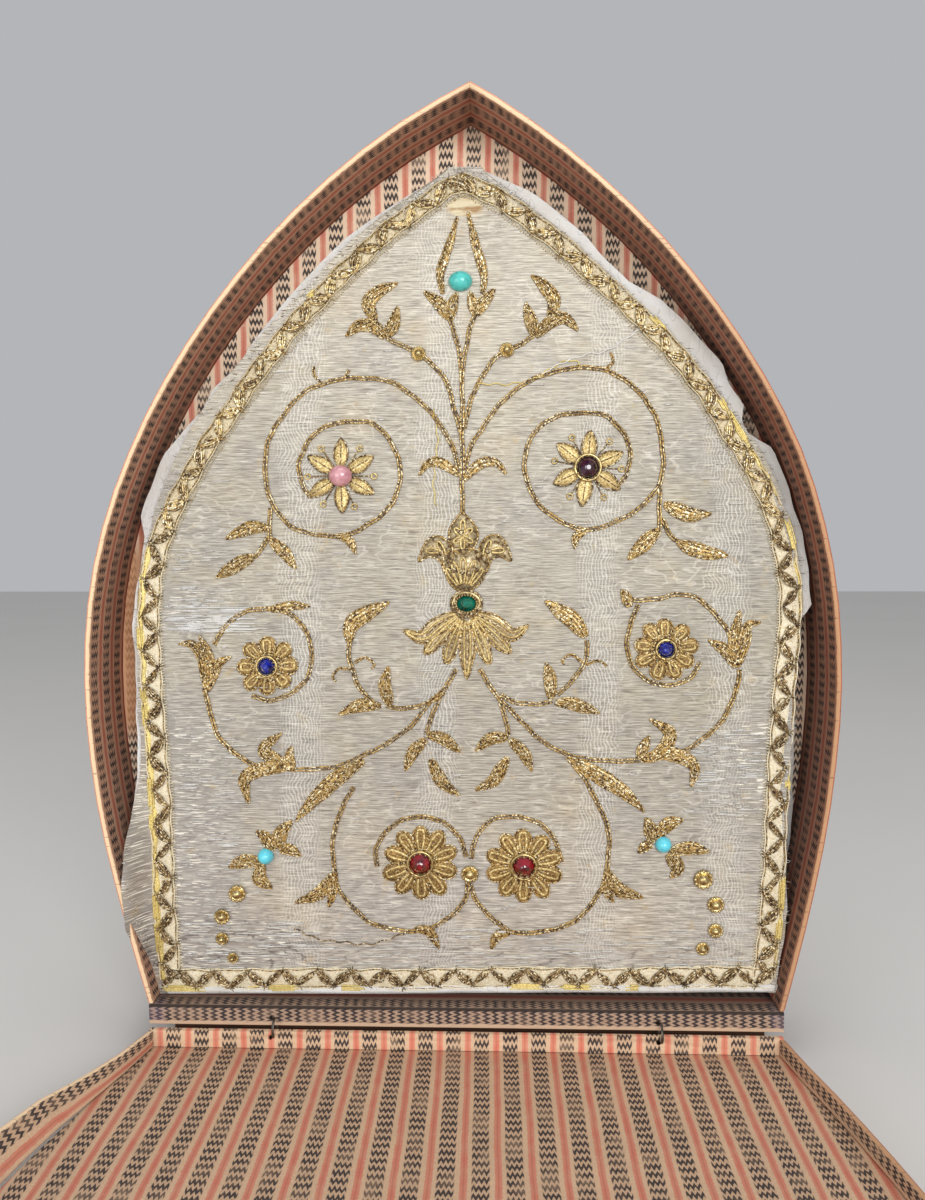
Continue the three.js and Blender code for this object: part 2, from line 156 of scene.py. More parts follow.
def lifted(line, lift=0.0):
    """Points in metres above the cloth, from a line of (x, z)."""
    line = np.asarray(line, float)
    x, z = line[:, 0], line[:, 1]
    return np.stack([x, cloth_y(x, z) - lift, z + 0.05 * np.asarray(lift)], 1) * MM


# Drawing lines and building meshes
def drawn(points, step=0.6):
    """A smooth line through given points, with even steps."""
    p = np.array(points, float)
    p = np.vstack([2 * p[0] - p[1], p, 2 * p[-1] - p[-2]])
    t = np.linspace(0, 1, 20, endpoint=False)[:, None]
    parts = []
    for i in range(1, len(p) - 2):
        a, b, c, d = p[i - 1:i + 3]
        parts.append(0.5 * (2 * b + (c - a) * t + (2 * a - 5 * b + 4 * c - d) * t ** 2
                            + (3 * b - a - 3 * c + d) * t ** 3))
    parts.append(p[-2:-1])
    return even(np.vstack(parts), step)


def even(line, step):
    """The same line with points at even steps."""
    s = travelled(line)
    count = max(int(round(s[-1] / step)), 2)
    at_s = np.linspace(0, s[-1], count + 1)
    return np.stack([np.interp(at_s, s, line[:, k]) for k in range(line.shape[1])], 1)


def travelled(line):
    """How far along the line each point is."""
    return np.concatenate([[0], np.cumsum(np.linalg.norm(np.diff(line, axis=0), axis=1))])


def along_of(line):
    """The line's direction at each point."""
    d = np.gradient(line, axis=0)
    return d / np.maximum(np.linalg.norm(d, axis=1, keepdims=True), 1e-12)


def beside(line, offset):
    """The line moved sideways, to its left, by an offset in mm."""
    t = along_of(line)
    return line + np.stack([-t[:, 1], t[:, 0]], 1) * np.reshape(offset, (-1, 1))


class Work:
    """A piece being built: points, faces and which finish each face has."""

    def __init__(self):
        self.points, self.faces, self.finish, self.count = [], [], [], 0

    def add(self, points, faces, finish=0):
        self.points.append(np.asarray(points, float))
        self.faces += [tuple(i + self.count for i in f) for f in faces]
        self.finish += [finish] * len(faces)
        self.count += len(points)

    def grid(self, rows, finish=0, closed=False, caps=False):
        """rows is an array of rows x columns x 3; closed joins the last column to the first."""
        rows = np.asarray(rows, float)
        n, m = rows.shape[:2]
        faces = []
        for i in range(n - 1):
            for j in range(m if closed else m - 1):
                k = (j + 1) % m
                faces.append((i * m + j, i * m + k, (i + 1) * m + k, (i + 1) * m + j))
        if caps:
            faces += [tuple(range(m))[::-1], tuple((n - 1) * m + j for j in range(m))]
        self.add(rows.reshape(-1, 3), faces, finish)

    def strand(self, path, radius, sides=5, finish=0, out=(0.0, -1.0, 0.05)):
        """A thread along a path in metres; its radius in mm may change along it."""
        path = np.asarray(path, float)
        radius = np.broadcast_to(np.asarray(radius, float), (len(path),)) * MM
        t = along_of(path)
        out = np.asarray(out, float) / np.linalg.norm(out)
        side = np.cross(t, out)
        length = np.linalg.norm(side, axis=1, keepdims=True)
        side = np.where(length > 0.05, side / np.maximum(length, 1e-9), np.array([1.0, 0, 0]))
        up = np.cross(side, t)
        turn = np.arange(sides) / sides * 2 * math.pi
        ring = np.cos(turn)[None, :, None] * side[:, None] + np.sin(turn)[None, :, None] * up[:, None]
        rows = path[:, None] + ring * radius[:, None, None]
        self.grid(rows, finish, closed=True, caps=True)

    def finished(self, name, finishes, replaces=(), slot=None):
        mesh = bpy.data.meshes.new(name)
        mesh.from_pydata(np.vstack(self.points).tolist(), [], self.faces)
        for finish in finishes:
            mesh.materials.append(finish)
        mesh.polygons.foreach_set("material_index", self.finish)
        mesh.polygons.foreach_set("use_smooth", [True] * len(self.faces))
        mesh.update()
        piece = bpy.data.objects.new(name, mesh)
        bpy.context.scene.collection.objects.link(piece)
        outwards(piece)
        return settle(piece, "root", replaces)


def settle(piece, body, replaces):
    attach(piece, body)
    if replaces:
        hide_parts(*replaces)
    return piece


def only(piece):
    """Nothing else is selected."""
    bpy.ops.object.select_all(action="DESELECT")
    piece.select_set(True)
    bpy.context.view_layer.objects.active = piece


def worked(piece, *steps):
    """Runs edit-mode steps, each with its settings, on the piece's whole mesh."""
    only(piece)
    bpy.ops.object.mode_set(mode="EDIT")
    bpy.ops.mesh.select_all(action="SELECT")
    for step, settings in steps:
        step(**settings)
    bpy.ops.object.mode_set(mode="OBJECT")


def outwards(piece):
    worked(piece, (bpy.ops.mesh.normals_make_consistent, {"inside": False}))


def smoothed(angle):
    bpy.ops.object.shade_smooth_by_angle(angle=math.radians(angle))


def wear(piece, *finishes):
    """The piece's only materials."""
    piece.data.materials.clear()
    for finish in finishes:
        piece.data.materials.append(finish)


# Finishes
class Amount:
    """A value at every point of a surface. Sums of amounts become nodes."""

    def __init__(self, finish, out):
        self.finish, self.out = finish, out

    def __radd__(self, other):
        return self.finish.sum("ADD", other, self)

    def __rsub__(self, other):
        return self.finish.sum("SUBTRACT", other, self)

    def __abs__(self):
        return self.finish.sum("ABSOLUTE", self)


for sign, kind in (("add", "ADD"), ("sub", "SUBTRACT"), ("mul", "MULTIPLY"), ("truediv", "DIVIDE"), ("pow", "POWER")):
    setattr(Amount, f"__{sign}__", lambda self, other, kind=kind: self.finish.sum(kind, self, other))


class Finish:
    """Builds one material's nodes. Its base colour is painted over, layer by layer."""

    def __init__(self, name, base):
        self.base = base
        self.material = bpy.data.materials.new(name)
        self.material.use_nodes = True
        self.tree = self.material.node_tree
        self.shader = self.tree.nodes["Principled BSDF"]
        place = self.tree.nodes.new("ShaderNodeTexCoord").outputs["Object"]
        self.x, self.y, self.z = (self.part(place, k) for k in range(3))

    def link(self, value, socket):
        if isinstance(value, (int, float)):
            socket.default_value = value
        elif isinstance(value, tuple):
            socket.default_value = (*value, 1.0)[:len(socket.default_value)]
        else:
            self.tree.links.new(value.out if isinstance(value, Amount) else value, socket)

    def made(self, kind, values):
        """A node with its inputs filled in, in their order."""
        node = self.tree.nodes.new(kind)
        for value, socket in zip(values, node.inputs):
            self.link(value, socket)
        return node

    def part(self, vector, k):
        """One part of a place, in mm."""
        return Amount(self, self.made("ShaderNodeSeparateXYZ", (vector,)).outputs[k]) * 1000

    def sum(self, kind, a, b=0.0):
        node = self.made("ShaderNodeMath", (a, b, 0.0))
        node.operation = kind
        return Amount(self, node.outputs[0])

    def held(self, a):
        """A sum kept from 0 to 1."""
        a.out.node.use_clamp = True
        return a

    def joined(self, x, y, z=0.0):
        return Amount(self, self.made("ShaderNodeCombineXYZ", (x, y, z)).outputs[0])

    @property
    def where(self):
        return self.joined(self.x, self.y, self.z)

    def noise(self, where, size, detail=2.0, rough=0.5):
        """Noise from 0 to 1; where is in mm and size is the size of its blots in mm."""
        node = self.tree.nodes.new("ShaderNodeTexNoise")
        for name, value in (("Vector", where), ("Scale", 1.0 / size), ("Detail", detail), ("Roughness", rough)):
            self.link(value, node.inputs[name])
        return Amount(self, node.outputs["Fac"])

    def sway(self, where, size, reach, detail=2.0, rough=0.5):
        """Noise round zero, as far as its reach to both sides together."""
        return (self.noise(where, size, detail, rough) - 0.5) * reach

    def between(self, value, low, high, to_low=0.0, to_high=1.0):
        """The value carried from one range to another, and kept inside it."""
        return Amount(self, self.made("ShaderNodeMapRange", (value, low, high, to_low, to_high)).outputs[0])

    def mix(self, share, a, b, kind="MIX"):
        node = self.tree.nodes.new("ShaderNodeMix")
        node.data_type = "RGBA"
        node.blend_type = kind
        first_colour, second_colour, mixed = node.inputs[6], node.inputs[7], node.outputs[2]
        for value, socket in ((share, node.inputs["Factor"]), (a, first_colour), (b, second_colour)):
            self.link(value, socket)
        return Amount(self, mixed)

    def paint(self, share, colour):
        """Lays a colour over the base, where and as far as share says."""
        self.base = self.mix(share, self.base, colour)

    def darken(self, share, colour):
        self.paint(share, self.mix(1.0, self.base, colour, "MULTIPLY"))

    def bump(self, height, depth):
        node = self.tree.nodes.new("ShaderNodeBump")
        self.link(depth * MM, node.inputs["Distance"])
        self.link(height, node.inputs["Height"])
        self.link(node.outputs[0], self.shader.inputs["Normal"])

    def done(self, **sockets):
        """Fills in the shader and gives the material."""
        for name, value in {"Base_Color": self.base, **sockets}.items():
            self.link(value, self.shader.inputs[name.replace("_", " ")])
        return self.material


def tone(r, g, b):
    """A colour as seen, from 0 to 255, in linear light from 0 to 1."""
    return tuple(round((v / 255) ** 2.2, 4) for v in (r, g, b))


def scaled(colour, by, plus=0.0):
    return tuple(min(v * by + plus, 1) for v in colour)


PAPER_REPEAT = 13.1


def patterned_paper(name, ground, pink, across, along, shade=None, shift=0.0, dirt=0.35):
    """Printed paper: a pink stripe, cream bands and a column of zigzag rows in every repeat."""
    f = Finish(name, ground)
    a, b = across(f), along(f)
    flat = f.joined(a, b)
    wander = f.sway(flat, 40, 1.6)
    stripe = a + shift + wander
    column = f.sum("FLOOR", stripe / PAPER_REPEAT)
    place = stripe - column * PAPER_REPEAT
    grain = f.noise(flat, 0.9, 3)
    edge = (grain - 0.5) * 0.7
    from_pink = abs(place - 1.9)
    pinkness = f.between(from_pink + edge, 1.15, 1.6, 1, 0)
    core = f.between(from_pink, 0.15, 0.6, 0.35, 0)
    # the zigzag rows
    wave = f.sum("PINGPONG", place + column * 0.37, 0.95)
    row = b + wave * 2.3
    row = row + column * 1.7
    row = row + f.noise(flat, 3.2) * 1.8
    stroke = 2.2 - f.sum("PINGPONG", row, 2.2) + edge
    line = f.between(stroke, 0.95, 1.3, 1, 0)
    in_column = f.between(place, 4.7, 5.1) * f.between(place, 11.4, 11.8, 1, 0)
    worn = f.between(f.noise(flat, 14, 3), 0.35, 0.5, 0.7, 1)
    inked = line * in_column * worn
    blot = f.between(f.noise(flat, 22, 4, 0.6), 0.3, 0.72)
    f.paint(blot * dirt, scaled(ground, 0.55))
    f.paint(f.between(grain, 0.3, 0.75, 0.0, 0.18), (1.0, 0.95, 0.85))
    f.paint(in_column * 0.22, scaled(ground, 0.45))
    f.paint(pinkness * f.between(f.noise(flat, 7, 3), 0.3, 0.7, 0.6, 0.92), pink)
    f.paint(pinkness * core, scaled(pink, 0.6))
    f.paint(inked * 0.93, INK)
    scuff = f.between(f.noise(flat, 5.5, 5, 0.7), 0.66, 0.72)
    f.paint(scuff * 0.5, scaled(ground, 1.3, 0.05))
    if shade:
        shade(f, flat)
    f.bump(f.noise(flat, 1.6, 5, 0.6), 0.12)
    return f.done(Roughness=f.between(grain, 0.2, 0.8, 0.72, 0.92))


def uv_of(f, k):
    """How far along (0) or across (1) its strip of paper a point is, in mm."""
    uv = f.tree.nodes.new("ShaderNodeUVMap")
    uv.uv_map = "paper"
    return f.part(uv.outputs[0], k)


CREAM_PAPER = tone(252, 222, 190)
TAN_PAPER = tone(206, 166, 130)
FLANGE_CREAM = tone(226, 188, 150)
# Painted shade: the walls' paper ground is darkened to brown for the shade inside the case
SHADED_BROWN_PAPER = tone(188, 138, 106)
SALMON = tone(222, 120, 98)
DULL_SALMON = tone(202, 112, 92)
INK = tone(34, 32, 40)


def rim_shade(f, flat):
    """The fold over the rim: a salmon outer edge and a cream line inside it, with painted shade towards the right."""
    v = uv_of(f, 1)
    ragged = v + f.sway(flat, 2.2, 1.4, 4, 0.7)
    fold = f.between(ragged, -3.1, -2.7) * f.between(ragged, 1.5, 1.9, 1, 0)
    cream = f.between(ragged, 0.55, 0.95)
    ticks = f.between(f.noise(f.joined(uv_of(f, 0) * 0.9, v), 1.3, 2), 0.6, 0.66)
    salmon = f.mix(f.noise(flat, 4, 4), tone(205, 130, 104), tone(232, 172, 138))
    edge = f.mix(cream, salmon, tone(240, 208, 168))
    edge = f.mix(ticks * 0.55, edge, tone(60, 40, 34))
    # Painted shade: the fold darkens towards the right, where less light falls
    edge = f.mix(f.between(f.x, 60, 140, 0.0, 0.8), edge, f.mix(1.0, edge, tone(186, 150, 128), "MULTIPLY"))
    f.paint(fold, edge)


def panel_shade(f, flat):
    """Low on the left the print has worn off to bare tan board."""
    low = f.between(abs(f.z - 190), 52, 40)
    bare = low * f.between(f.x + f.noise(flat, 8, 4) * 14, -141, -145)
    bare = bare * f.between(f.y, 19.2, 19.6, 1, 0)
    f.paint(bare * 0.75, tone(220, 160, 114))


def wall_shade(f, flat):
    """Painted shade on the case's inner walls: darker towards the right, where less light falls; then the fold over the
    rim.
    """
    # painted shade, growing towards the right
    right = f.between(f.x, -60, 150)
    f.darken(right * 0.55, tone(150, 104, 84))
    rim_shade(f, flat)


def floor_shade(f, flat):
    """A painted shadow line along the front edge, painted shade over the floor's top, bluish patches at both ends, and
    paper torn off low on the front.
    """
    # Painted shadow: a dark line along the floor's front top edge
    line = f.between(f.z, 20.3, 20.7) * f.between(f.y, -19.9, -19.4, 1, 0)
    ends = f.between(abs(f.x) + f.noise(flat, 6) * 9, 144.5, 147)
    f.paint(ends * 0.3, tone(112, 98, 118))
    # Painted shade on the floor's top, deeper towards the back
    shaded = f.between(f.z, 20.9, 21.4) * f.between(f.y, -19.5, -13.0, 0.3, 1.0)
    f.darken(shaded, tone(160, 152, 150))
    ragged = f.z + f.noise(flat, 5, 3) * 3.4
    torn = f.between(ragged, 15.6, 16.0, 1, 0)
    f.paint(torn * 0.8, tone(206, 176, 146))
    # the painted shadow line
    f.paint(line * 0.9, tone(24, 16, 18))


def cord_gold(name, dark, light, painted_glint, size=0.9, rough=0.34):
    """Twisted gilt thread: painted light on its turns, painted shade in the hollows between them, near-white painted
    glints and darker patches.
    """
    f = Finish(name, dark)
    where = f.where
    turns = f.noise(where, size, 2, 0.6)
    patches = f.noise(where, 26, 3)
    # Painted light on the turns over painted shade in the hollows
    f.paint(f.between(turns, 0.43, 0.55), light)
    # Painted highlight: near-white glints
    f.paint(f.between(f.noise(where, size * 0.7, 1), 0.56, 0.63), painted_glint)
    f.paint(f.between(patches, 0.45, 0.72, 0.0, 0.3), dark)
    f.bump(turns, 0.3)
    return f.done(Metallic=0.4, Roughness=f.between(patches, 0.3, 0.7, rough, rough + 0.18))


def silver_cloth():
    """Watered silver cloth: fine weft lines, watermarks, tarnish and bright worn threads."""
    f = Finish("silver_cloth", tone(178, 171, 159))
    x, z = f.x, f.z
    flat = f.joined(x, z)
    weft = f.noise(f.joined(x * 0.05, z * 1.5), 1.0, 2, 0.6)
    fine = f.noise(f.joined(x * 0.14, z * 3.0), 1.0, 2, 0.6)
    # watermarks: wavy upright lines gathered in four columns
    sway = f.sway(f.joined(x * 0.3, z), 22, 16, 2)
    shake = f.sway(flat, 4.5, 3.2, 2)
    line = f.sum("SINE", (x + sway + shake) * 3.9)
    columns = 0.0
    for middle, half in ((-78, 9), (-14, 8), (62, 8), (122, 9)):
        drift = f.sway(f.joined(0.0, z), 60, 22, 1)
        off = abs(x + drift - middle)
        columns = columns + f.between(off, half * 0.6, half * 1.3, 1, 0)
    watered = f.held(f.between(line, 0.1, 0.9) * columns)
    contour = f.noise(f.joined(x * 0.55, z), 16, 3, 0.5)
    veins = f.sum("PINGPONG", contour * 9.0, 0.5)
    veins = f.between(veins, 0.38, 0.5)
    # colour
    high = f.between(z, 60, 400)
    low_left = f.between(x, -20, -150) * f.between(z, 190, 60)
    f.paint(high, tone(190, 182, 166))
    f.paint(low_left * 0.5, tone(150, 145, 140))
    warm = f.between(f.noise(flat, 36, 3, 0.55), 0.5, 0.7)
    f.paint(warm * 0.4, tone(204, 184, 144))
    lilac = f.between(f.noise(f.joined(z, x, 7.0), 48, 2), 0.5, 0.66)
    f.paint(lilac * 0.3, tone(146, 143, 148))
    f.paint(f.between(weft, 0.36, 0.5, 0.5, 0.0), tone(122, 112, 100))
    f.paint(f.between(weft, 0.56, 0.68, 0.0, 0.5), tone(232, 226, 210))
    f.paint(f.between(fine, 0.53, 0.66, 0.0, 0.5), tone(240, 232, 212))
    f.paint(f.between(fine, 0.34, 0.45, 0.45, 0.0), tone(104, 96, 88))
    thread = f.noise(f.joined(x * 0.1, z * 2.5, 3.0), 1.0, 1, 0.5)
    f.paint(f.between(thread, 0.6, 0.66, 0.0, 0.6), tone(244, 238, 222))
    f.paint(f.between(thread, 0.34, 0.4, 0.55, 0.0), tone(100, 92, 84))
    aged = f.held(f.between(abs(z - 205), 150, 60, 0.0, 0.7) + f.between(x, 20, 110, 0.0, 0.3))
    f.darken(aged * f.between(z, 50, 110), tone(218, 218, 216))
    f.paint(watered * 0.5, tone(232, 229, 222))
    seen = f.between(f.noise(flat, 30, 2), 0.42, 0.6, 0.05, 0.36)
    f.paint(veins * seen, tone(236, 230, 216))
    # the worn patch of cream silk just under the point
    patch_x = abs((x + 1.0) / 8.5) ** 2.0
    patch_z = abs((z - 393.0) / 4.6) ** 2.0
    patch = f.between(patch_x + patch_z, 1.2, 0.7)
    silk = f.mix(f.between(f.noise(f.joined(x * 0.3, z), 3, 3), 0.45, 0.65), tone(222, 208, 170),
                 tone(158, 116, 62))
    f.paint(patch * 0.85, silk)
    # worn places where the silver is gone and white silk floats show
    left = f.between(x, -104, -128) * f.between(z, 172, 150)
    left = left + f.between(x, -108, -126) * f.between(abs(z - 208), 13, 8)
    right = f.between(x, 104, 122) * f.between(abs(z - 132), 34, 18)
    corner = f.between(x, -70, -100) * f.between(z, 66, 52)
    foot = f.between(z, 60, 44)
    worn = f.held(left + right + (corner + foot * 0.5))
    dash = f.noise(f.joined(x * 0.12, z * 1.7), 1.0, 1, 0.5)
    bare = f.between(dash, 0.6, 0.64) * (worn * 0.9 + 0.1)
    f.paint(worn * 0.35, tone(146, 140, 136))
    f.paint(bare, tone(238, 232, 216))
    # Painted shade along the creases near the foot and the lower left corner
    fold = abs(f.noise(f.joined(x * 0.22, z, 5.0), 8, 3, 0.5) - 0.5)
    creased = f.between(fold, 0.016, 0.004) * f.held(corner + foot * 0.7)
    f.paint(creased * 0.65, tone(84, 76, 72))
    stain = f.between(f.noise(flat, 9, 4, 0.65), 0.62, 0.7) * 0.35
    f.paint(stain, tone(186, 160, 110))
    f.bump(weft * 0.7 + (fine * 0.3 + watered * 0.4), 0.22)
    rough = f.between(weft + bare * 0.6, 0.3, 1.1, 0.46, 0.74)
    metal = 0.2 - bare * 0.2
    return f.done(Metallic=metal, Roughness=rough)


WEAVE = 6.28 / 0.5  # one thread in every 0.5 mm


def plain_cloth(name, light, dark):
    """Plain woven cloth, soiled and lightly creased, with painted shade along the creases."""
    f = Finish(name, light)
    flat = f.joined(f.x, f.z, f.y)
    threads = f.sum("SINE", f.x * WEAVE) * f.sum("SINE", f.z * WEAVE)
    soil = f.between(f.noise(flat, 18, 4, 0.6), 0.35, 0.75)
    f.paint(soil, dark)
    f.paint(f.between(f.noise(flat, 1.4, 3), 0.4, 0.7, 0.0, 0.16), scaled(light, 0.75))
    crease = f.sum("PINGPONG", f.noise(f.joined(f.x, f.z * 0.5), 11, 2) * 5.0, 0.5)
    # Painted shade along the creases
    f.paint(f.between(crease, 0.05, 0.0, 0.0, 0.4), scaled(dark, 0.5))
    f.bump(threads * 0.3 + (f.noise(flat, 3, 3) + crease), 0.3)
    return f.done(Roughness=0.9)


def satin(name, light, dark, stitch=0.7):
    """Laid silk or flat gilt thread, with the lines of its stitches."""
    f = Finish(name, dark)
    where = f.where
    lines = f.noise(where, stitch, 2, 0.6)
    f.paint(f.between(lines, 0.35, 0.65), light)
    f.paint(f.between(f.noise(where, 12, 3), 0.45, 0.7, 0, 0.5), scaled(dark, 0.6))
    f.bump(lines, 0.2)
    return f.done(Metallic=0.4, Roughness=0.38)


def braid_ground():
    """The braid's silk: cream low down, tarnished to the colour of the cloth higher up, with dark gaps."""
    f = Finish("braid_ground", tone(236, 226, 200))
    where = f.where
    threads = f.noise(where, 0.9, 3, 0.65)
    high = f.between(f.z + f.noise(where, 14, 2) * 60, 240, 290)
    f.paint(high, tone(222, 208, 174))
    f.paint(f.between(threads, 0.42, 0.56, 0.6, 0.0), f.mix(high, tone(206, 186, 140), tone(170, 148, 104)))
    f.paint(f.between(f.noise(where, 1.7, 2), 0.6, 0.66, 0.0, 0.5),
            f.mix(high, tone(176, 158, 124), tone(126, 102, 64)))
    f.bump(threads, 0.3)
    return f.done(Metallic=0.15, Roughness=0.5)


def gem(name, colour, deep, cut=True):
    """Coloured glass: clear and glossy when cut, milky when polished round."""
    f = Finish(name, deep)
    where = f.where
    f.paint(f.between(f.noise(where, 3.2, 2), 0.35, 0.65), colour)
    gloss = (0.6, 0.25, 0.08) if cut else (0.35, 0.0, 0.24)
    return f.done(IOR=1.6, Coat_Roughness=0.04, Coat_Weight=gloss[0], Transmission_Weight=gloss[1],
                  Roughness=gloss[2])


def turquoise(name, colour, vein):
    """Turquoise with darker veins under a soft polish."""
    f = Finish(name, colour)
    where = f.where
    f.paint(f.between(f.noise(where, 2.4, 5, 0.7), 0.56, 0.66), vein)
    f.paint(f.between(f.noise(where, 5, 2), 0.4, 0.7, 0, 0.35), scaled(colour, 1.5))
    f.bump(f.noise(where, 2, 3), 0.05)
    return f.done(Roughness=0.3, Coat_Weight=0.4, Coat_Roughness=0.1)


def gilt_metal(name, colour, dark, rough=0.26):
    """Old metal, darker where dirt has stayed on it."""
    f = Finish(name, colour)
    where = f.where
    f.paint(f.between(f.noise(where, 2.5, 4, 0.65), 0.45, 0.72), dark)
    f.bump(f.noise(where, 1.2, 3), 0.05)
    return f.done(Metallic=1.0, Roughness=f.between(f.noise(where, 3, 3), 0.3, 0.7, rough, rough + 0.2))


def dark_wood():
    """Wood with its grain along the case, its dark tone painted shade of the recess under the case."""
    f = Finish("case_wood", tone(62, 42, 32))
    streak = f.noise(f.joined(f.x * 0.05, f.y * 0.6, f.z), 1.4, 5, 0.6)
    f.paint(streak, tone(104, 74, 54))
    f.bump(streak, 0.15)
    return f.done(Roughness=0.75)


SILVER = silver_cloth()
WHITE = plain_cloth("white_lining", tone(250, 249, 246), tone(232, 227, 216))
BACK_CLOTH = plain_cloth("back_cloth", tone(204, 200, 194), tone(168, 162, 154))
GOLD = cord_gold("gold_thread", tone(74, 50, 22), tone(190, 154, 88), tone(255, 240, 196), 1.2)
PURL = cord_gold("gold_purl", tone(92, 66, 30), tone(204, 172, 106), tone(255, 248, 214), 1.5, 0.3)
DARK_GOLD = cord_gold("dark_gold_thread", tone(66, 48, 30), tone(150, 124, 84), tone(232, 216, 176), 1.4, 0.38)
BRAID_LOOPS = cord_gold("braid_loops", tone(112, 84, 44), tone(226, 202, 144), tone(255, 250, 222), 1.6, 0.3)
PALE_GOLD = satin("pale_gold", tone(250, 230, 164), tone(156, 120, 62))
PETAL_GROUND = satin("petal_ground", tone(188, 154, 94), tone(84, 58, 28), 0.9)
LILY_GROUND = satin("lily_ground", tone(226, 208, 166), tone(104, 78, 44), 1.6)
BRAID_GROUND = braid_ground()
YELLOW_SILK = satin("yellow_silk", tone(244, 226, 152), tone(214, 188, 108), 0.8)
GILT = gilt_metal("gilt_metal", tone(212, 190, 136), tone(112, 88, 54))
WIRE = gilt_metal("hinge_wire", tone(120, 116, 110), tone(70, 56, 46), 0.42)
WOOD = dark_wood()


def floor_across(f):
    """Across two strips of paper: one on top of the floor, one down its front edge."""
    on_top = f.between(f.z, 21.2, 21.4)
    return on_top * (f.y + 24.2) + (1.0 - on_top) * (f.z - 9.4)


FLAT = (lambda f: f.x, lambda f: f.y + f.z)
ALONG_WALL = (lambda f: uv_of(f, 1), lambda f: uv_of(f, 0))
PANEL_PAPER = patterned_paper("panel_paper", CREAM_PAPER, SALMON, *FLAT, panel_shade, shift=5.0, dirt=0.12)
LID_PAPER = patterned_paper("lid_paper", TAN_PAPER, DULL_SALMON, *FLAT, shift=1.0)
FLANGE_PAPER = patterned_paper("flange_paper", FLANGE_CREAM, SALMON, *FLAT, shift=1.0)
FLOOR_PAPER = patterned_paper("floor_paper", tone(176, 142, 116), DULL_SALMON, floor_across, FLAT[0],
                              floor_shade)
WALL_PAPER = patterned_paper("wall_paper", SHADED_BROWN_PAPER, tone(176, 92, 72), *ALONG_WALL, wall_shade, shift=1.5)
LID_WALL_PAPER = patterned_paper("lid_wall_paper", TAN_PAPER, DULL_SALMON, *ALONG_WALL, rim_shade, shift=4.5)


# The case
def arc_table(rows):
    """Heights up the case's outline, and how far along the outline each one is."""
    z = np.linspace(rows[0][0], rows[-1][0], 400)
    return z, travelled(np.stack([z, at(rows, 1, z)], 1))


ARC_Z, ARC_S = arc_table(CASE_ROWS)


def board_copy(node, round_edge):
    """A copy of a board's node, merged, with its edges rounded."""
    source = nodes[node]
    piece = source.copy()
    piece.data = source.data.copy()
    piece.name = piece.data.name = node + "_papered"
    for key in list(piece.keys()):
        del piece[key]
    piece.parent = None
    bpy.context.scene.collection.objects.link(piece)
    worked(piece, (bpy.ops.mesh.remove_doubles, {"threshold": 0.00001}),
           (bpy.ops.mesh.dissolve_limited, {"angle_limit": math.radians(0.3)}))
    bevel = piece.modifiers.new("rim", "BEVEL")
    bevel.width = round_edge * MM
    bevel.segments = 3
    bevel.limit_method = "ANGLE"
    bevel.angle_limit = math.radians(50)
    bpy.ops.object.modifier_apply(modifier="rim")
    return piece


def standing(p):
    """Height up the case of a point of it."""
    return p.z / MM


def lying(p):
    """Height up the lid, as if it were closed, of a point of it."""
    return LID_SHIFT - p.y / MM


def case_slope(height):
    """How much wider the case gets in one mm of height."""
    return float(at(CASE_ROWS, 1, height + 1) - at(CASE_ROWS, 1, height - 1)) / 2


def lean(piece, height_of):
    """The old case's lean to one side."""
    for vertex in piece.data.vertices:
        vertex.co.x += float(at(LEAN_ROWS, 1, height_of(vertex.co))) * MM


def close_top(piece):
    """The wall's upper end goes on to the middle, where it meets the other wall."""
    gap = min(abs(v.co.x) for v in piece.data.vertices)
    for vertex in piece.data.vertices:
        off = abs(vertex.co.x) - gap
        if off < 1.0 * MM:
            vertex.co.x = math.copysign(0.01 * MM + 0.02 * off, vertex.co.x)


def sag(piece):
    """The lid's left wall leans outwards and its paper has stretched."""
    foot = 1.5
    for vertex in piece.data.vertices:
        place = lying(vertex.co)
        slope = case_slope(place)
        angle = math.radians(float(at(SAG_ROWS, 1, place)))
        rise = (vertex.co.z / MM - foot) * float(at(SAG_ROWS, 2, place))
        if rise > 0:
            out = rise * math.sin(angle) / math.hypot(1, slope)
            vertex.co.x -= out * MM
            vertex.co.y += out * slope * MM
            vertex.co.z = (foot + rise * math.cos(angle)) * MM


def papered_wall(node, body, finish, height_of, depth_of):
    """A case or lid wall, with paper laid along it and folded over its rim."""
    piece = board_copy(node, 0.8)
    mesh = piece.data
    uv = mesh.uv_layers.new(name="paper")
    for polygon in mesh.polygons:
        polygon.use_smooth = True
        inside = polygon_inside(polygon, height_of)
        for loop in polygon.loop_indices:
            point = mesh.vertices[mesh.loops[loop].vertex_index].co
            s = float(np.interp(height_of(point), ARC_Z, ARC_S))
            deep = depth_of(point)
            uv.data[loop].uv = (s * MM, (deep + BOARD_HALF if inside else -deep - BOARD_HALF) * MM)
    smoothed(40)
    wear(piece, finish)
    close_top(piece)
    lean(piece, height_of)
    if node == "lid_wall_left":
        sag(piece)
    return settle(piece, body, [node])


def papered_board(node, body, finish, height_of):
    """A flat board of the case or the lid, in the same paper."""
    piece = board_copy(node, 0.5)
    lean(piece, height_of)
    wear(piece, finish)
    for polygon in piece.data.polygons:
        polygon.use_smooth = True
    smoothed(40)
    return settle(piece, body, [node])


def polygon_inside(polygon, height_of):
    """True where a wall's face looks inwards, at the mitre."""
    height = height_of(polygon.center)
    half = float(at(CASE_ROWS, 1, height))
    distance = (half - abs(polygon.center.x) / MM) / math.hypot(1, case_slope(height))
    return distance > BOARD_HALF


def dressed(node, finish):
    """A node that stays, in a finish of its own."""
    piece = nodes[node]
    wear(piece, finish)


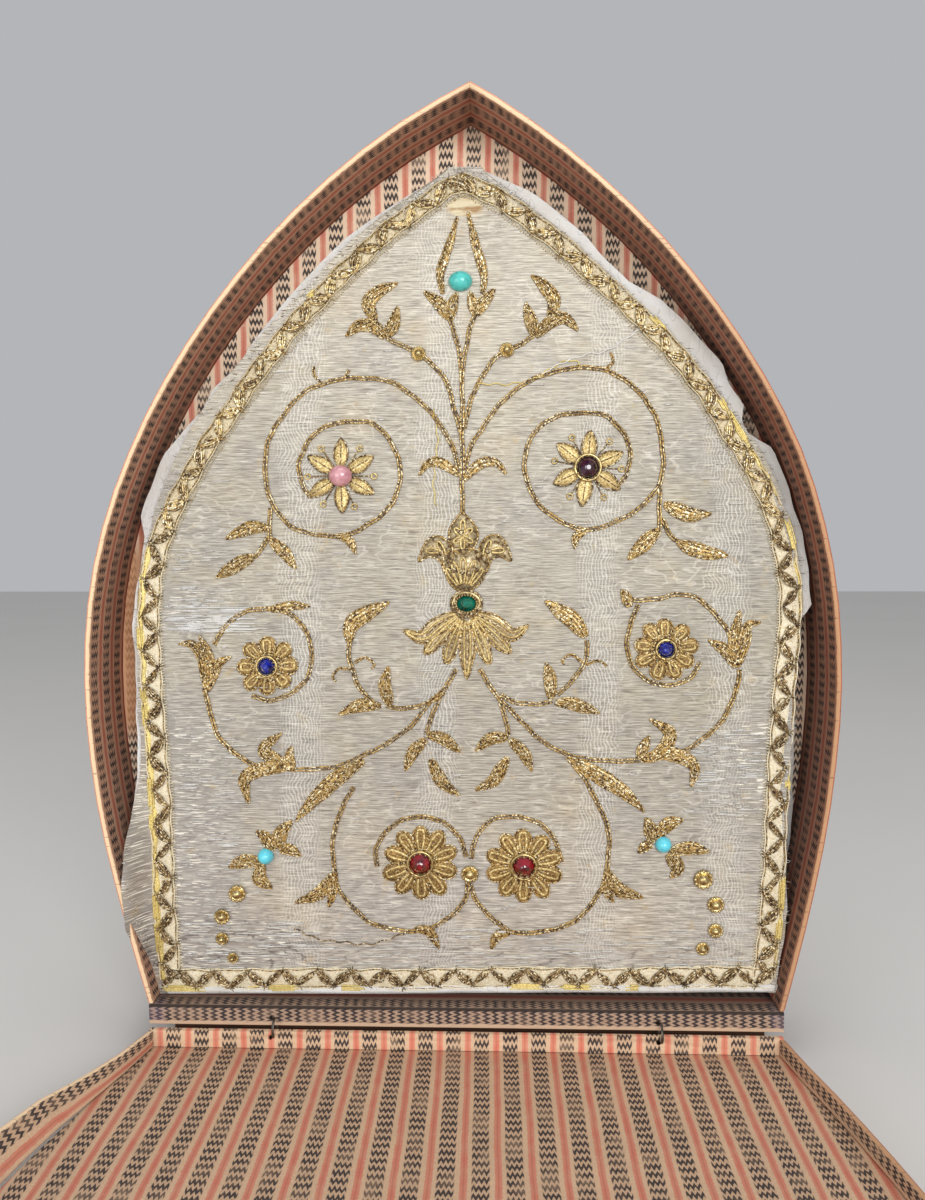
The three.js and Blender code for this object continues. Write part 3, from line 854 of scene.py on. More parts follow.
def build_case():
    """The case on its plinth, and the lid on its wire rings; the lid's print is stretched on its left wall."""
    papered_board("case_back_panel", "root", PANEL_PAPER, standing)
    papered_board("case_floor", "root", FLOOR_PAPER, standing)
    papered_board("lid_panel", "lid", LID_PAPER, lying)
    papered_board("lid_hinge_wall", "lid", FLANGE_PAPER, lying)
    dressed("case_plinth", WOOD)
    for side in ("left", "right"):
        papered_wall("case_wall_" + side, "root", WALL_PAPER, standing, lambda p: p.y / MM - FRONT)
        papered_wall("lid_wall_" + side, "lid", LID_WALL_PAPER, lying,
                     lambda p, tall=1.6 if side == "left" else 1.0: (11.2 - p.z / MM) * tall)
        dressed("hinge_ring_" + side, WIRE)


# The mitre's cloth
def edge_wave(z, side, size):
    """How the torn edge of a layer goes in and out, in mm."""
    z = np.asarray(z, float)
    return size * (0.45 * np.sin(z / 17 + side * 2.1) + 0.3 * np.sin(z / 7.3 + side)
                   + 0.25 * np.sin(z / 3.1 + side * 5))


def cloth_sheet(name, column, depth_at, thick, finish, node, torn=0.8, across=90, up=120):
    """One layer of the mitre, from hem to point, as a closed thin sheet."""
    heights = HEM + (TOP - 1.0 - HEM) * (1 - (1 - np.linspace(0, 1, up)) ** 1.15)
    rows = []
    for z in heights:
        left = max(float(reach(-1, column, z) + edge_wave(z, -1, torn)), 0.8)
        right = max(float(reach(1, column, z) + edge_wave(z, 1, torn)), 0.8)
        share = np.linspace(-1, 1, across)
        x = MIDDLE_X + np.where(share < 0, left, right) * share
        tall = uphill(x, z) if z < TOP else z
        if z == heights[0]:
            tall = tall + 0.5 * np.sin(x / 9) * 0.4
        rows.append(np.stack([x, depth_at(x, z, np.abs(share)), tall], 1))
    front = np.array(rows)
    back = front.copy()
    back[:, :, 1] += thick
    piece = Work()
    n, m = front.shape[:2]
    ring = np.concatenate([front, back[:, ::-1]], axis=1)
    piece.grid(ring * MM, closed=True)
    columns = 2 * m
    first = [(j, j + 1, columns - 2 - j, columns - 1 - j) for j in range(m - 1)]
    last = [tuple((n - 1) * columns + i for i in corners) for corners in first]
    piece.faces += [f[::-1] for f in first] + last
    piece.finish += [0] * (len(first) + len(last))
    made = piece.finished(name, [finish], replaces=[node])
    only(made)
    smoothed(50)
    return made


def front_depth(x, z, share):
    curl = np.clip((share - 0.93) / 0.07, 0, 1) ** 2 * (1.2 + 1.0 * np.sin(z / 19.0 + np.sign(x)))
    turned = 10.5 * float(np.interp(z, [28, 45, 95, 125], [0, 1, 1, 0]))
    forward = turned * np.clip((-x - 149) / 8.5, 0, 1.1) ** 1.5
    return cloth_y(x, uphill(x, z)) - curl * 0.6 - forward


def lining_depth(x, z, share):
    wave = np.clip((share - 0.9) / 0.1, 0, 1) * (0.5 * np.sin(z / 13.0 + 1) - 0.2)
    return face(uphill(x, z)) + 2.5 + wave


def back_lining_depth(x, z, share):
    return np.full_like(x, 13.6) + 0.3 * np.sin(x / 17 + z / 23)


def back_depth(x, z, share):
    return np.full_like(x, 15.0) + 0.2 * np.sin(x / 19 - z / 29)


# Name, column of its outline, depth, thickness, finish, node, slot, flat width, flat area and what else differs
SHEETS = [
    ("front_cloth", 1, front_depth, 1.8, SILVER, "front_horn", "silver_cloth", 0.311, 0.0985,
     {"across": 150, "up": 170}),
    ("front_lining", 2, lining_depth, 0.9, WHITE, "lining", "lining_cloth", 0.317, 0.098, {"torn": 1.0}),
    ("back_lining", 4, back_lining_depth, 0.9, WHITE, "lining", "lining_cloth", 0.317, 0.098, {}),
    ("back_cloth", 4, back_depth, 2.0, BACK_CLOTH, "back_horn", "silver_cloth", 0.311, 0.0985, {"torn": 1.2}),
]


def build_cloth():
    """The front and back of the mitre, and the white lining between them."""
    for name, column, depth_at, thick, finish, node, slot, wide, area, more in SHEETS:
        sheet = cloth_sheet(name, column, depth_at, thick, finish, node, **more)


# Braid
def braid_path(side):
    """The middle line of a side's braid, up to where the two cross at the point."""
    z = np.linspace(BRAID_FOOT, 396, 300)
    x = side * reach(side, 3, z) + MIDDLE_X
    line = np.stack([x, uphill(x, z)], 1)
    peak = np.array([[MIDDLE_X - 0.5 + side * 6.5, 401.6], [MIDDLE_X - 0.5 - side * 1.2, 404.0]])
    return even(np.vstack([line, peak]), 1.0)


def yellow_share(x, z):
    """Where the yellow silk of the braid's outer edge still shows, from 0 to 1."""
    if z < 36:
        return 0.9 if x < -100 else 0.2
    if x < 0:
        return 0.9 if z < 236 else 0.04
    return 0.7 if 205 < z < 300 or z < 78 else 0.04


def braid_half(line):
    """Half the braid's width: it is drawn in near the top."""
    return np.interp(line[:, 1], [235, 270], [4.9, 4.1])


BRAID_FINISHES = [BRAID_GROUND, GOLD, DARK_GOLD, YELLOW_SILK, BRAID_LOOPS]
GROUND, GILT_CORD, DARK_LOOP, YELLOW, BRIGHT_LOOP = range(5)
FINE = 0.6  # step of the braid's finer lines


def braid_ribbon(work, line):
    """The braid's ground, crowned a little and uneven in width."""
    share = np.linspace(-1, 1, 7)
    broad = braid_half(line)
    uneven = 1 + 0.07 * np.sin(travelled(line) / 3.1) + 0.05 * np.sin(travelled(line) / 1.3)
    rows = np.stack([lifted(beside(line, s * broad * uneven), 0.3 + 0.45 * (1 - s * s)) for s in share], 1)
    under = np.stack([lifted(beside(line, s * broad * uneven), 0.05) for s in share[::-1]], 1)
    work.grid(np.concatenate([rows, under], 1), GROUND, closed=True, caps=True)


def braid_cords(work, fine):
    """A cord along each edge, and a thin gilt one inside it."""
    s = travelled(fine)
    broad = braid_half(fine)
    cords = ((-1, 0, 0.36, 1.5, GROUND), (1, 0, 0.36, 1.3, GROUND), (-1, 0.7, 0.22, 1.1, GILT_CORD),
             (1, 0.7, 0.22, 1.1, GILT_CORD))
    for edge, inset, radius, pitch, finish in cords:
        sway = 0.3 * np.sin(s / 2.3 + edge) + 0.25 * np.sin(s / 5.1)
        work.strand(lifted(beside(fine, edge * (broad - inset) + sway), 0.8),
                    beaded(fine, radius, pitch, edge), 5, finish)


def yellow_bands(work, fine, outer):
    """The yellow silk of the outer edge, where it is whole."""
    kept = [yellow_share(x, z) > 0.6 for x, z in fine]
    start = 0
    for i in range(1, len(fine) + 1):
        if i == len(fine) or kept[i] != kept[start]:
            if kept[start] and i - start > 12:
                part = fine[start:i]
                worn = 0.35 * np.sin(travelled(part) / 4.3) + 0.3 * np.sin(travelled(part) / 1.9)
                half = braid_half(part)
                inner = half - (2.9 if outer > 0 else 1.3)
                band = [(half + 0.9, 0.2), (half + 0.5, 0.75), (half - 0.4, 0.85), (inner + 0.3, 0.8),
                        (inner, 0.2)]
                rows = [lifted(beside(part, outer * (edge + worn * (k > 1))), lift)
                        for k, (edge, lift) in enumerate(band)]
                work.grid(np.stack(rows, 1), YELLOW, closed=True, caps=True)
            start = i


def yellow_tufts(work, fine, outer):
    """Beaded strands of the yellow silk, whole in places and worn to tufts in others."""
    s = travelled(fine)
    here = 0.0
    while here < s[-1] - 4:
        length = rng.uniform(5, 22)
        part = fine[(s >= here) & (s <= here + length)]
        if len(part) > 3 and rng.random() < 0.6 * yellow_share(*part[0]):
            for k in range(4):
                cut = part[rng.randrange(0, 6):len(part) - rng.randrange(0, 6)]
                out = outer * (braid_half(cut) + 0.5 - 0.7 * k) + rng.uniform(-0.15, 0.15)
                if len(cut) > 3:
                    work.strand(lifted(beside(cut, out), 1.0), beaded(cut, 0.42, 0.9, k), 5, YELLOW)
        here += length


def zigzag_threads(work, middle, normal, up, upper):
    """One stroke of the zigzag: three to five fat threads side by side, and curls of loose thread over it."""
    swell = np.sin(np.linspace(0, 1, len(middle)) * math.pi)
    count = rng.choice((4, 5) if upper else (3, 4, 4))
    bulge = rng.uniform(0.85, 1.2)
    middle = middle + normal * rng.uniform(-0.4, 0.4)
    for k in range(count):
        bow = (k - (count - 1) / 2) * bulge * swell ** 0.8 + 0.5 * up * swell
        rise = 1.35 + 0.5 * swell + rng.uniform(-0.1, 0.15)
        finish = BRIGHT_LOOP if upper and rng.random() < 0.75 else DARK_LOOP
        work.strand(lifted(beside(middle, bow), rise), 0.26 + 0.3 * swell, 5, finish)
    for _ in range(4 if upper else 2):
        turn = rng.uniform(0, 2 * math.pi)
        turns = np.linspace(turn, turn + rng.uniform(1.6, 3.4), 9)
        wide = rng.uniform(1.0, 2.1)
        centre = middle[rng.randrange(2, 8)]
        curl = np.stack([centre[0] + wide * np.cos(turns), centre[1] + 1.4 * wide * np.sin(turns)], 1)
        work.strand(lifted(curl, 1.7 + rng.uniform(-0.3, 0.3)), 0.3, 5, BRIGHT_LOOP if upper else GILT_CORD)
    return middle[-1]


def tie_stitches(work, tie, direction, upper):
    """Small stitches that spread from a corner of the zigzag."""
    for turn in (-0.9, -0.3, 0.35, 0.9):
        if rng.random() < 0.3:
            continue
        c, d = math.cos(turn), math.sin(turn)
        spoke = np.array([direction[0] * c - direction[1] * d, direction[0] * d + direction[1] * c])
        length = rng.uniform(1.4, 3.0)
        path = np.array([tie - spoke * 0.9, tie + spoke * length * 0.4, tie + spoke * length])
        work.strand(lifted(path, [1.8, 1.6, 1.0]), 0.22, 4, GILT_CORD if upper else DARK_LOOP)


def braid_zigzag(work, fine, outer):
    """The zigzag of laid threads, with its tie stitches, from one end of the braid to the other."""
    s = travelled(fine)
    pitch = s[-1] / max(round(s[-1] / 8.3), 2)
    place = np.linspace(0, 1, 10)
    beside_fine = beside(fine, 1.0) - fine
    where, up = 0.0, 1
    while where < s[-1] - 0.5 * pitch:
        swing = float(braid_half(fine[[min(int(where / FINE), len(fine) - 1)]])[0]) * 0.7
        across = -0.5 * outer + swing * up * (2 * place - 1)
        core, normal = (np.stack([np.interp(where + pitch * place, s, table[:, k]) for k in range(2)], 1)
                        for table in (fine, beside_fine))
        upper = core[0][1] > 245
        tie = zigzag_threads(work, core + normal * across[:, None], normal, up, upper)
        tie_stitches(work, tie, normal[-1] * up, upper)
        where += pitch
        up = -up


def braid_run(name, line, node, outer):
    """A ribbon with corded edges, yellow silk on its outer edge, and a zigzag of fat laid threads over it."""
    work = Work()
    line = even(line, 1.4)
    fine = even(line, FINE)
    braid_ribbon(work, line)
    braid_cords(work, fine)
    yellow_bands(work, fine, outer)
    yellow_tufts(work, fine, outer)
    braid_zigzag(work, fine, outer)
    return work.finished(name, BRAID_FINISHES, [node], "gold_braid")


def picots(work, line, side):
    """Small loops of silk along the braid's inner edge."""
    line = even(line, 1.35)
    for p, n in zip(line, (beside(line, 1.0) - line) * side):
        a, b = p + n * 4.9, p + n * (5.5 + rng.uniform(0.5, 1.3))
        work.strand(lifted(np.array([a, (a + b) / 2, b]), [0.6, 0.65, 0.25]), 0.27, 4)


def build_braid():
    left, right = braid_path(-1), braid_path(1)
    half = float(reach(1, 3, BRAID_FOOT)) + 4.4
    x = np.linspace(-half, half, 240)
    hem = np.stack([x + MIDDLE_X, uphill(x, BRAID_FOOT) + 0.3 * np.sin(x / 15)], 1)
    braid_run("braid_left_worked", left, "braid_left", 1)
    braid_run("braid_right_worked", right, "braid_right", -1)
    braid_run("braid_hem_worked", hem, "braid_hem", -1)
    work = Work()
    picots(work, left, -1)
    picots(work, right, 1)
    work.finished("braid_picots", [BRAID_GROUND], slot="gold_braid")


# Embroidery
def beaded(line, radius, pitch=1.1, phase=0.0):
    """Radii along a line that swell and narrow like a string of beads."""
    s = travelled(line)
    return radius * (0.78 + 0.34 * np.abs(np.sin(s * math.pi / pitch + phase)))


def couched(work, points, apart=0.62, radius=0.5, taper=0.0):
    """A stem of two gilt threads laid side by side and sewn down."""
    line = drawn(points, 0.55)
    s = travelled(line)
    wobble = 0.16 * np.sin(s / 3.7 + points[0][0]) + 0.12 * np.sin(s / 1.7)
    narrow = 1 - taper * (s / s[-1])
    for sign in (-1, 1):
        path = beside(line, (sign * apart * narrow + wobble))
        work.strand(lifted(path, 0.55 + 0.1 * np.sin(s / 2.9 + sign)),
                    beaded(line, radius, 1.15, sign) * narrow)


def shape_of(line, wide, blunt):
    """Half widths of a leaf or petal along its line."""
    t = np.linspace(0, 1, len(line))
    if blunt:
        half = wide / 2 * np.sin(np.clip(t ** 1.45 * 0.93 + 0.045, 0, 1) * math.pi) ** 0.6
        return np.maximum(half, wide * 0.1)
    return np.maximum(wide / 2 * np.sin(np.clip(t * 0.96 + 0.03, 0, 1) ** 0.85 * math.pi) ** 0.8, 0.22)


def leaf(work, spine, wide, blunt=False, style="purl"):
    """A padded leaf or petal with a beaded outline, filled with rows of purl, satin and a rib, or a loop."""
    line = drawn(spine, 0.55)
    half = shape_of(line, wide, blunt)
    s = travelled(line)
    share = np.linspace(-1, 1, 9)
    full = 0.95 if style == "rib" else 0.35
    rows = []
    for c in share:
        ridge = 0.13 * np.sin((s + abs(c) * half * 1.1) * 2 * math.pi / 1.25)
        height = 0.25 + full * (1 - c * c) * np.minimum(half / 2.2, 1) + ridge * (1 - abs(c) ** 3)
        rows.append(lifted(beside(line, c * half), height))
    under = np.stack([lifted(beside(line, c * half), 0.1) for c in share[::-1]], 1)
    work.grid(np.concatenate([np.stack(rows, 1), under], 1), 1, closed=True, caps=True)
    outline = even(np.vstack([beside(line, half), beside(line, -half)[::-1]]), 0.6)
    jitter = 0.12 * np.sin(travelled(outline) / 1.9 + spine[0][0])
    work.strand(lifted(beside(outline, jitter), 0.55), beaded(outline, 0.44))
    if style == "rib":
        rib(work, line[int(len(line) * 0.1):int(len(line) * 0.85)], 1.25, 0.32)
    elif style == "loop":
        near = half * 0.42
        inner = even(np.vstack([beside(line, near)[2:-3], beside(line, -near)[2:-3][::-1]]), 0.6)
        work.strand(lifted(inner, 0.75), 0.66 + 0.1 * np.sin(travelled(inner) / 0.5), 6, 2)
        rib(work, line[1:int(len(line) * 0.62)], 0.9, 0.34)
    else:
        for k in (-0.5, 0.0, 0.5) if wide > 4.8 else (0.0,):
            part = beside(line, half * k)[2:int(len(line) * (0.9 if k == 0 else 0.8))]
            rib(work, part, 0.85, 0.42)


def rib(work, part, lift, radius):
    if len(part) > 3:
        work.strand(lifted(part, lift), beaded(part, radius, 1.0, part[0][0]))


def plate(work, outline):
    """A flat raised shape with a beaded outline."""
    outline = [*outline, outline[0]]
    line = drawn(outline, 0.8)[:-1]
    n = len(line)
    faces = [tuple(range(n)), tuple(range(2 * n - 1, n - 1, -1))]
    faces += [(i, (i + 1) % n, n + (i + 1) % n, n + i) for i in range(n)]
    work.add(np.concatenate([lifted(line, 0.6), lifted(line, 0.1)]), faces, 1)
    edge = drawn(outline, 0.6)
    work.strand(lifted(edge, 0.6), beaded(edge, 0.46))


def purl_loop(work, base, tip, wide):
    """A bent length of bright purl, from its base round its tip and back."""
    base, tip = np.array(base, float), np.array(tip, float)
    along = tip - base
    side = np.array([-along[1], along[0]]) / np.linalg.norm(along) * wide / 2
    path = drawn([base + side * 0.4, base + along * 0.5 + side, base + along * 0.88 + side * 0.8, tip,
                  base + along * 0.88 - side * 0.8, base + along * 0.5 - side, base - side * 0.4], 0.6)
    work.strand(lifted(path, 1.0), 0.6 * (0.9 + 0.12 * np.sin(travelled(path) / 0.45)), 6, 2)


# Stems: points across and above the table, in mm
STEMS_UPPER = [
    [(-2, 252), (-2, 267), (-2, 286), (-2, 304), (-2, 314)],
    [(-7.5, 341), (-6, 336), (-3, 324), (-2, 312)],
    [(4, 343), (2, 338), (-0.7, 326), (-2, 314)],
    [(-2.4, 288), (-5.2, 298), (-9, 311.5), (-15.6, 320.4), (-22, 325.5), (-28, 328.3), (-37, 333)],
    [(-1.2, 291), (0.7, 298.6), (4, 309), (10, 319), (14.6, 324.3), (18.8, 327), (24.3, 329.3), (31.3, 333.4)],
    [(-3.5, 272), (-7.7, 285), (-15.6, 297), (-26, 307), (-37, 313), (-51, 314.6), (-63, 313), (-74.5, 309),
     (-85, 298.6), (-92, 287.5), (-94.5, 276), (-93.7, 264.7), (-90, 254.4), (-83, 246.4), (-74, 242.7),
     (-62.7, 241.2), (-52.3, 243.1), (-41, 250), (-34, 258), (-31, 266.8), (-31.6, 275.6), (-35.3, 285),
     (-41, 291.4), (-47.4, 294.2), (-57.7, 294.3), (-66.6, 291.6), (-73.7, 286), (-77.5, 278), (-78.5, 272.6),
     (-76.2, 263.7), (-73, 259.5)],
    [(-0.7, 272), (2, 282.4), (7.6, 291.6), (14.6, 301), (23, 309), (33.6, 314.5), (44.2, 317.7), (53.4, 318.5),
     (64, 317.5), (72.4, 313), (80.7, 306), (86.7, 297), (89.5, 287.5), (91, 277), (90, 267.7), (87, 260.8),
     (79.5, 253.4), (71.7, 248.8), (62, 244.7), (53.7, 244.2), (45.8, 246.6), (37.4, 252.2), (31.4, 259),
     (27.6, 268), (27.2, 277), (30, 287), (36, 293), (44.3, 297), (53.5, 297.8), (63.2, 296.8), (70, 291.7),
     (74.3, 285.3), (75.7, 277), (74, 269), (69.3, 263.6)],
    [(-92.3, 254.4), (-92.4, 240)],
    [(-93.4, 241), (-98, 233), (-101, 231)],
    [(89.2, 263), (89.7, 244)],
    [(90.2, 249), (95, 241), (99, 237.5)],
]
STEMS_LOWER = [
    [(-119, 190), (-114, 198.5), (-106, 205), (-96.5, 207), (-87, 206.5), (-80, 202), (-75, 195), (-73, 187),
     (-74.4, 177), (-79, 170), (-87, 165.4), (-94.5, 164), (-101.6, 166)],
    [(-99.5, 132.6), (-109, 138), (-117, 146), (-121, 156), (-123, 164), (-124, 170)],
    [(-82, 131), (-70, 131.6), (-58, 133.8), (-47.6, 138.6), (-36.7, 144.3), (-27, 151.5), (-18, 162.4), (-10.7, 169.5),
     (-5, 179)],
    [(-10.7, 168), (-19, 162.4), (-29.6, 160.4), (-38, 161.3)],
    [(-43.7, 163), (-50.8, 170.3), (-53.6, 177.4), (-55.4, 185.4), (-55, 191.5)],
    [(-12.6, 166), (-16.8, 156), (-18.8, 148)],
    [(-53.4, 123), (-58, 114.7), (-61.6, 106.5), (-63.6, 95.5), (-63, 84), (-61, 74.4), (-54.7, 65.7), (-46.6, 58.6),
     (-37, 55.3), (-27.6, 54), (-15.7, 56.5), (-6, 63), (-0.5, 71), (0.5, 78)],
    [(-0.4, 90), (-2, 96), (-5, 101), (-13, 107), (-22.6, 109), (-32, 106.3), (-39.3, 100.5), (-43, 93.3), (-42.5, 85)],
    [(80, 209), (77, 202), (74.7, 192), (77, 181.4), (82, 175.3), (89.7, 172), (97.6, 172), (104.5, 175.4),
     (108.6, 182.4)],
    [(73, 215), (78, 211.4), (88.5, 211.7), (97.3, 214), (105.6, 212.6), (113.5, 206.6), (119.5, 199.6), (122.4, 194)],
    [(126.6, 179), (125.8, 171), (122, 160.5), (116.3, 152), (108.4, 145), (100, 139.8)],
    [(6, 179), (11.8, 169.5), (20.3, 160), (28.3, 151.7), (37.6, 143.7), (47, 139), (57.3, 136.7), (69, 135.8),
     (80.6, 136.4)],
    [(15.6, 167), (23.6, 163.4), (33, 162.5), (40, 164)],
    [(42.3, 167), (47.8, 172), (52.5, 177.6), (55.7, 184.6), (56, 192.6)],
    [(15.6, 163.4), (18.4, 155.4), (19.4, 147)],
    [(47, 137.6), (54, 129.6), (59.7, 119), (64.4, 110), (66.8, 99), (66, 86), (63.7, 76.5), (59, 68.3), (52, 61),
     (42.6, 56), (30.8, 54), (20.4, 54.4), (11, 61.6), (3.8, 70), (1.4, 77)],
    [(2.2, 89), (3.8, 98.4), (11, 107), (20.3, 109.5), (29.7, 108), (37.7, 103.4), (42.4, 96.3), (44.4, 88)],
]
TENDRILS = [
    [(-71.2, 320), (-71, 316), (-68, 313)],
    [(-55, 318.4), (-57.2, 314.2)],
    [(64, 317.5), (67.7, 320.7), (66.3, 325.3)],
    [(-55, 179), (-60, 179), (-63, 175), (-61.5, 173)],
    [(-52.6, 182), (-47.4, 184.4), (-43.6, 181), (-45, 179)],
    [(54, 182), (49, 185.6), (44.5, 183), (45.5, 181)],
    [(56, 181.4), (61.8, 182.8), (65.5, 180.4)],
]
# Leaves: the line from base to tip, and the width
LEAVES = [
    ([(-3, 269), (-11.5, 275), (-18, 274.6), (-22, 269.5)], 4.2),
    ([(-1.2, 267), (6.2, 274.5), (13.7, 275), (18.3, 270)], 4.2),
    ([(-92.4, 245), (-102, 245), (-113, 240)], 5.6),
    ([(-92.4, 240), (-86, 234), (-80, 226)], 5.4),
    ([(-100, 232), (-108.6, 227.5), (-118, 221.6)], 6.0),
    ([(89.3, 244), (83, 238), (75, 230)], 6.4),
    ([(91.5, 256), (102, 251), (113, 251)], 6.6),
    ([(97.6, 238), (108, 234), (121, 231.6)], 6.4),
    ([(-40.4, 161.3), (-50, 161.6), (-60, 157.5)], 5.6),
    ([(-36.2, 161.4), (-38.5, 171), (-37, 180)], 5.6),
    ([(-55.4, 191.5), (-53, 201), (-36.5, 210.3)], 7.4),
    ([(41.3, 163.5), (50.2, 162.6), (62, 158.4)], 5.6),
    ([(39.5, 165), (39, 174.3), (37, 182)], 5.6),
    ([(55.7, 194), (49.2, 202), (36.6, 210.8)], 7.4),
    ([(-18.8, 148), (-11, 146), (-3.2, 139.7)], 5.4),
    ([(-19.2, 146), (-25, 140), (-29.2, 131)], 5.2),
    ([(-17, 136.3), (-12, 126), (-3.7, 119.3)], 5.4),
    ([(19.4, 147), (11, 146), (4.3, 140.7)], 5.4),
    ([(20.3, 146), (27, 139), (30.6, 131)], 5.2),
    ([(19, 137.5), (13, 127), (4.3, 121.7)], 5.6),
    ([(-48.6, 135.5), (-62, 126.5), (-74, 115), (-81, 106.5)], 7.0),
    ([(48, 137), (61, 129.5), (74, 121), (83, 112.3)], 7.0),
    ([(-63, 81.6), (-70.4, 72), (-81.5, 67.4)], 5.6),
    ([(-63, 80), (-64, 72), (-65.7, 65.6)], 4.2),
    ([(65.5, 84.6), (70.7, 75.6), (82.5, 71.4)], 6.2),
    ([(65, 82), (66, 74), (69, 69)], 4.0),
    ([(-25, 55), (-18, 54), (-13.3, 46)], 4.0),
    ([(21.3, 54.5), (14.2, 52), (11.4, 46)], 4.0),
    ([(-61.3, 241), (-55.6, 240), (-52, 233)], 3.6),
    ([(56, 244), (51, 240.5), (50.4, 235)], 3.2),
    ([(-93.2, 206.5), (-83, 208.5), (-73.7, 208.4)], 4.0),
    ([(76, 208), (74.5, 212), (72, 216)], 4.4),
    # the sprays at the top
    ([(-11, 353), (-12, 363), (-8, 375), (-4.2, 388)], 3.6),
    ([(7.4, 353), (8, 362), (4.4, 375), (0.8, 390)], 3.6),
    ([(-38, 333), (-43, 338), (-50, 338.5), (-56, 334)], 5.6),
    ([(-38, 333), (-34, 339), (-32, 347)], 5.4),
    ([(-42, 340), (-45.5, 349), (-40, 354.5), (-32, 358)], 5.8),
    ([(32, 333), (38, 339), (45, 341.5), (51.5, 335.5)], 5.6),
    ([(32, 333), (29.5, 341), (27.5, 348.5)], 5.2),
    ([(38.5, 342), (40.5, 349), (36, 356), (30, 361)], 5.8),
    ([(-7.6, 341), (-12, 348), (-19.5, 354)], 5.4),
    ([(-7.6, 341), (-6.5, 348), (-4.5, 353.5)], 5.0),
    ([(4, 343), (3, 349), (1.5, 354)], 4.6),
    ([(4, 343), (8, 349), (13, 355)], 5.2),
    # the palm buds beside the blue flowers
    ([(-123, 168), (-124, 182), (-129, 190), (-136, 190.5)], 5.2),
    ([(-123, 168), (-122, 183), (-126, 194.5)], 5.4),
    ([(-123, 168), (-118.5, 180), (-111.5, 184.5)], 5.0),
    ([(125.5, 180), (120, 188), (112.5, 192.7)], 5.0),
    ([(125.5, 180), (124.5, 193), (126.5, 206)], 5.4),
    ([(125.5, 180), (129, 193), (130.5, 199.5), (136, 201)], 5.2),
    # the buds under them
    ([(-82, 131), (-90, 135.5), (-96, 141), (-87.5, 148.5)], 5.6),
    ([(-82, 131), (-84, 137), (-83, 142)], 4.4),
    ([(-84, 132), (-95, 131.5), (-105, 127), (-103.5, 115)], 6.2),
    ([(81, 136.4), (90, 139.5), (95, 149), (85.6, 155.5)], 5.8),
    ([(80, 137), (83, 143), (85.2, 148)], 4.4),
    ([(84, 137), (95, 139.5), (106, 134), (105, 124)], 6.2),
    # the tulips beside the small turquoises
    ([(-92, 92), (-96, 99), (-100, 101.5)], 5.4),
    ([(-90, 93), (-88, 101), (-83, 106.5)], 6.2),
    ([(-89, 92), (-84, 93), (-79, 90)], 5.0),
    ([(-98, 87), (-106, 87), (-113.5, 84)], 6.0),
    ([(-97, 86), (-99, 79), (-93, 74)], 6.0),
    ([(88, 98), (86, 104), (84, 109)], 6.2),
    ([(89, 100), (94, 106), (101.5, 108.6)], 6.0),
    ([(87, 96), (84, 96), (80.5, 93)], 4.4),
    ([(95, 93), (104, 95), (113.6, 93.6)], 6.0),
    ([(94, 92), (99, 86), (95.5, 81)], 6.0),
]


def build_stems():
    for name, table in (("stems_upper", STEMS_UPPER), ("stems_lower", STEMS_LOWER)):
        work = Work()
        for points in table:
            couched(work, points)
        work.finished(name, [GOLD], slot="gold_thread")
    work = Work()
    for points in TENDRILS:
        couched(work, points, 0.45, 0.42, 0.4)
    work.finished("tendrils", [GOLD], slot="gold_thread")
    work = Work()
    for spine, wide in LEAVES:
        leaf(work, spine, wide)
    work.finished("leaves", [GOLD, PURL], slot="gold_thread")


def ray(middle, angle, far):
    """The point so far from the middle, in a direction."""
    a = math.radians(angle)
    return (middle[0] + far * math.cos(a), middle[1] + far * math.sin(a))


def petal_flower(middle, count, radius, turn, inner, wide, style):
    """A round flower of outlined petals."""
    work = Work()
    for k in range(count):
        angle = turn + 360 * k / count + rng.uniform(-3, 3)
        far = radius * rng.uniform(0.95, 1.03)
        spine = [ray(middle, angle, r) for r in (inner, (inner + far) / 2, far)]
        leaf(work, spine, wide * rng.uniform(0.93, 1.05), style == "loop", style)
    return work


FLOWER_FINISHES = [GOLD, PETAL_GROUND, PALE_GOLD, DARK_GOLD]
LILY_FINISHES = [GOLD, LILY_GROUND, PALE_GOLD, DARK_GOLD]
SATIN_FINISHES = [DARK_GOLD, PALE_GOLD, PALE_GOLD]
POINTED_FLOWERS = [("pink_flower", (-58.8, 269.2), 90), ("purple_flower", (56.2, 272.6), 84)]
ROUND_FLOWERS = [
    ("blue_flower_left", (-94.1, 180.1), 8, 14.2, 7.8), ("blue_flower_right", (92.6, 188.4), 9, 14.8, 7.4),
    ("red_flower_left", (-22.0, 86.9), 10, 18.2, 8.2), ("red_flower_right", (26.8, 85.9), 10, 18.0, 8.2),
]


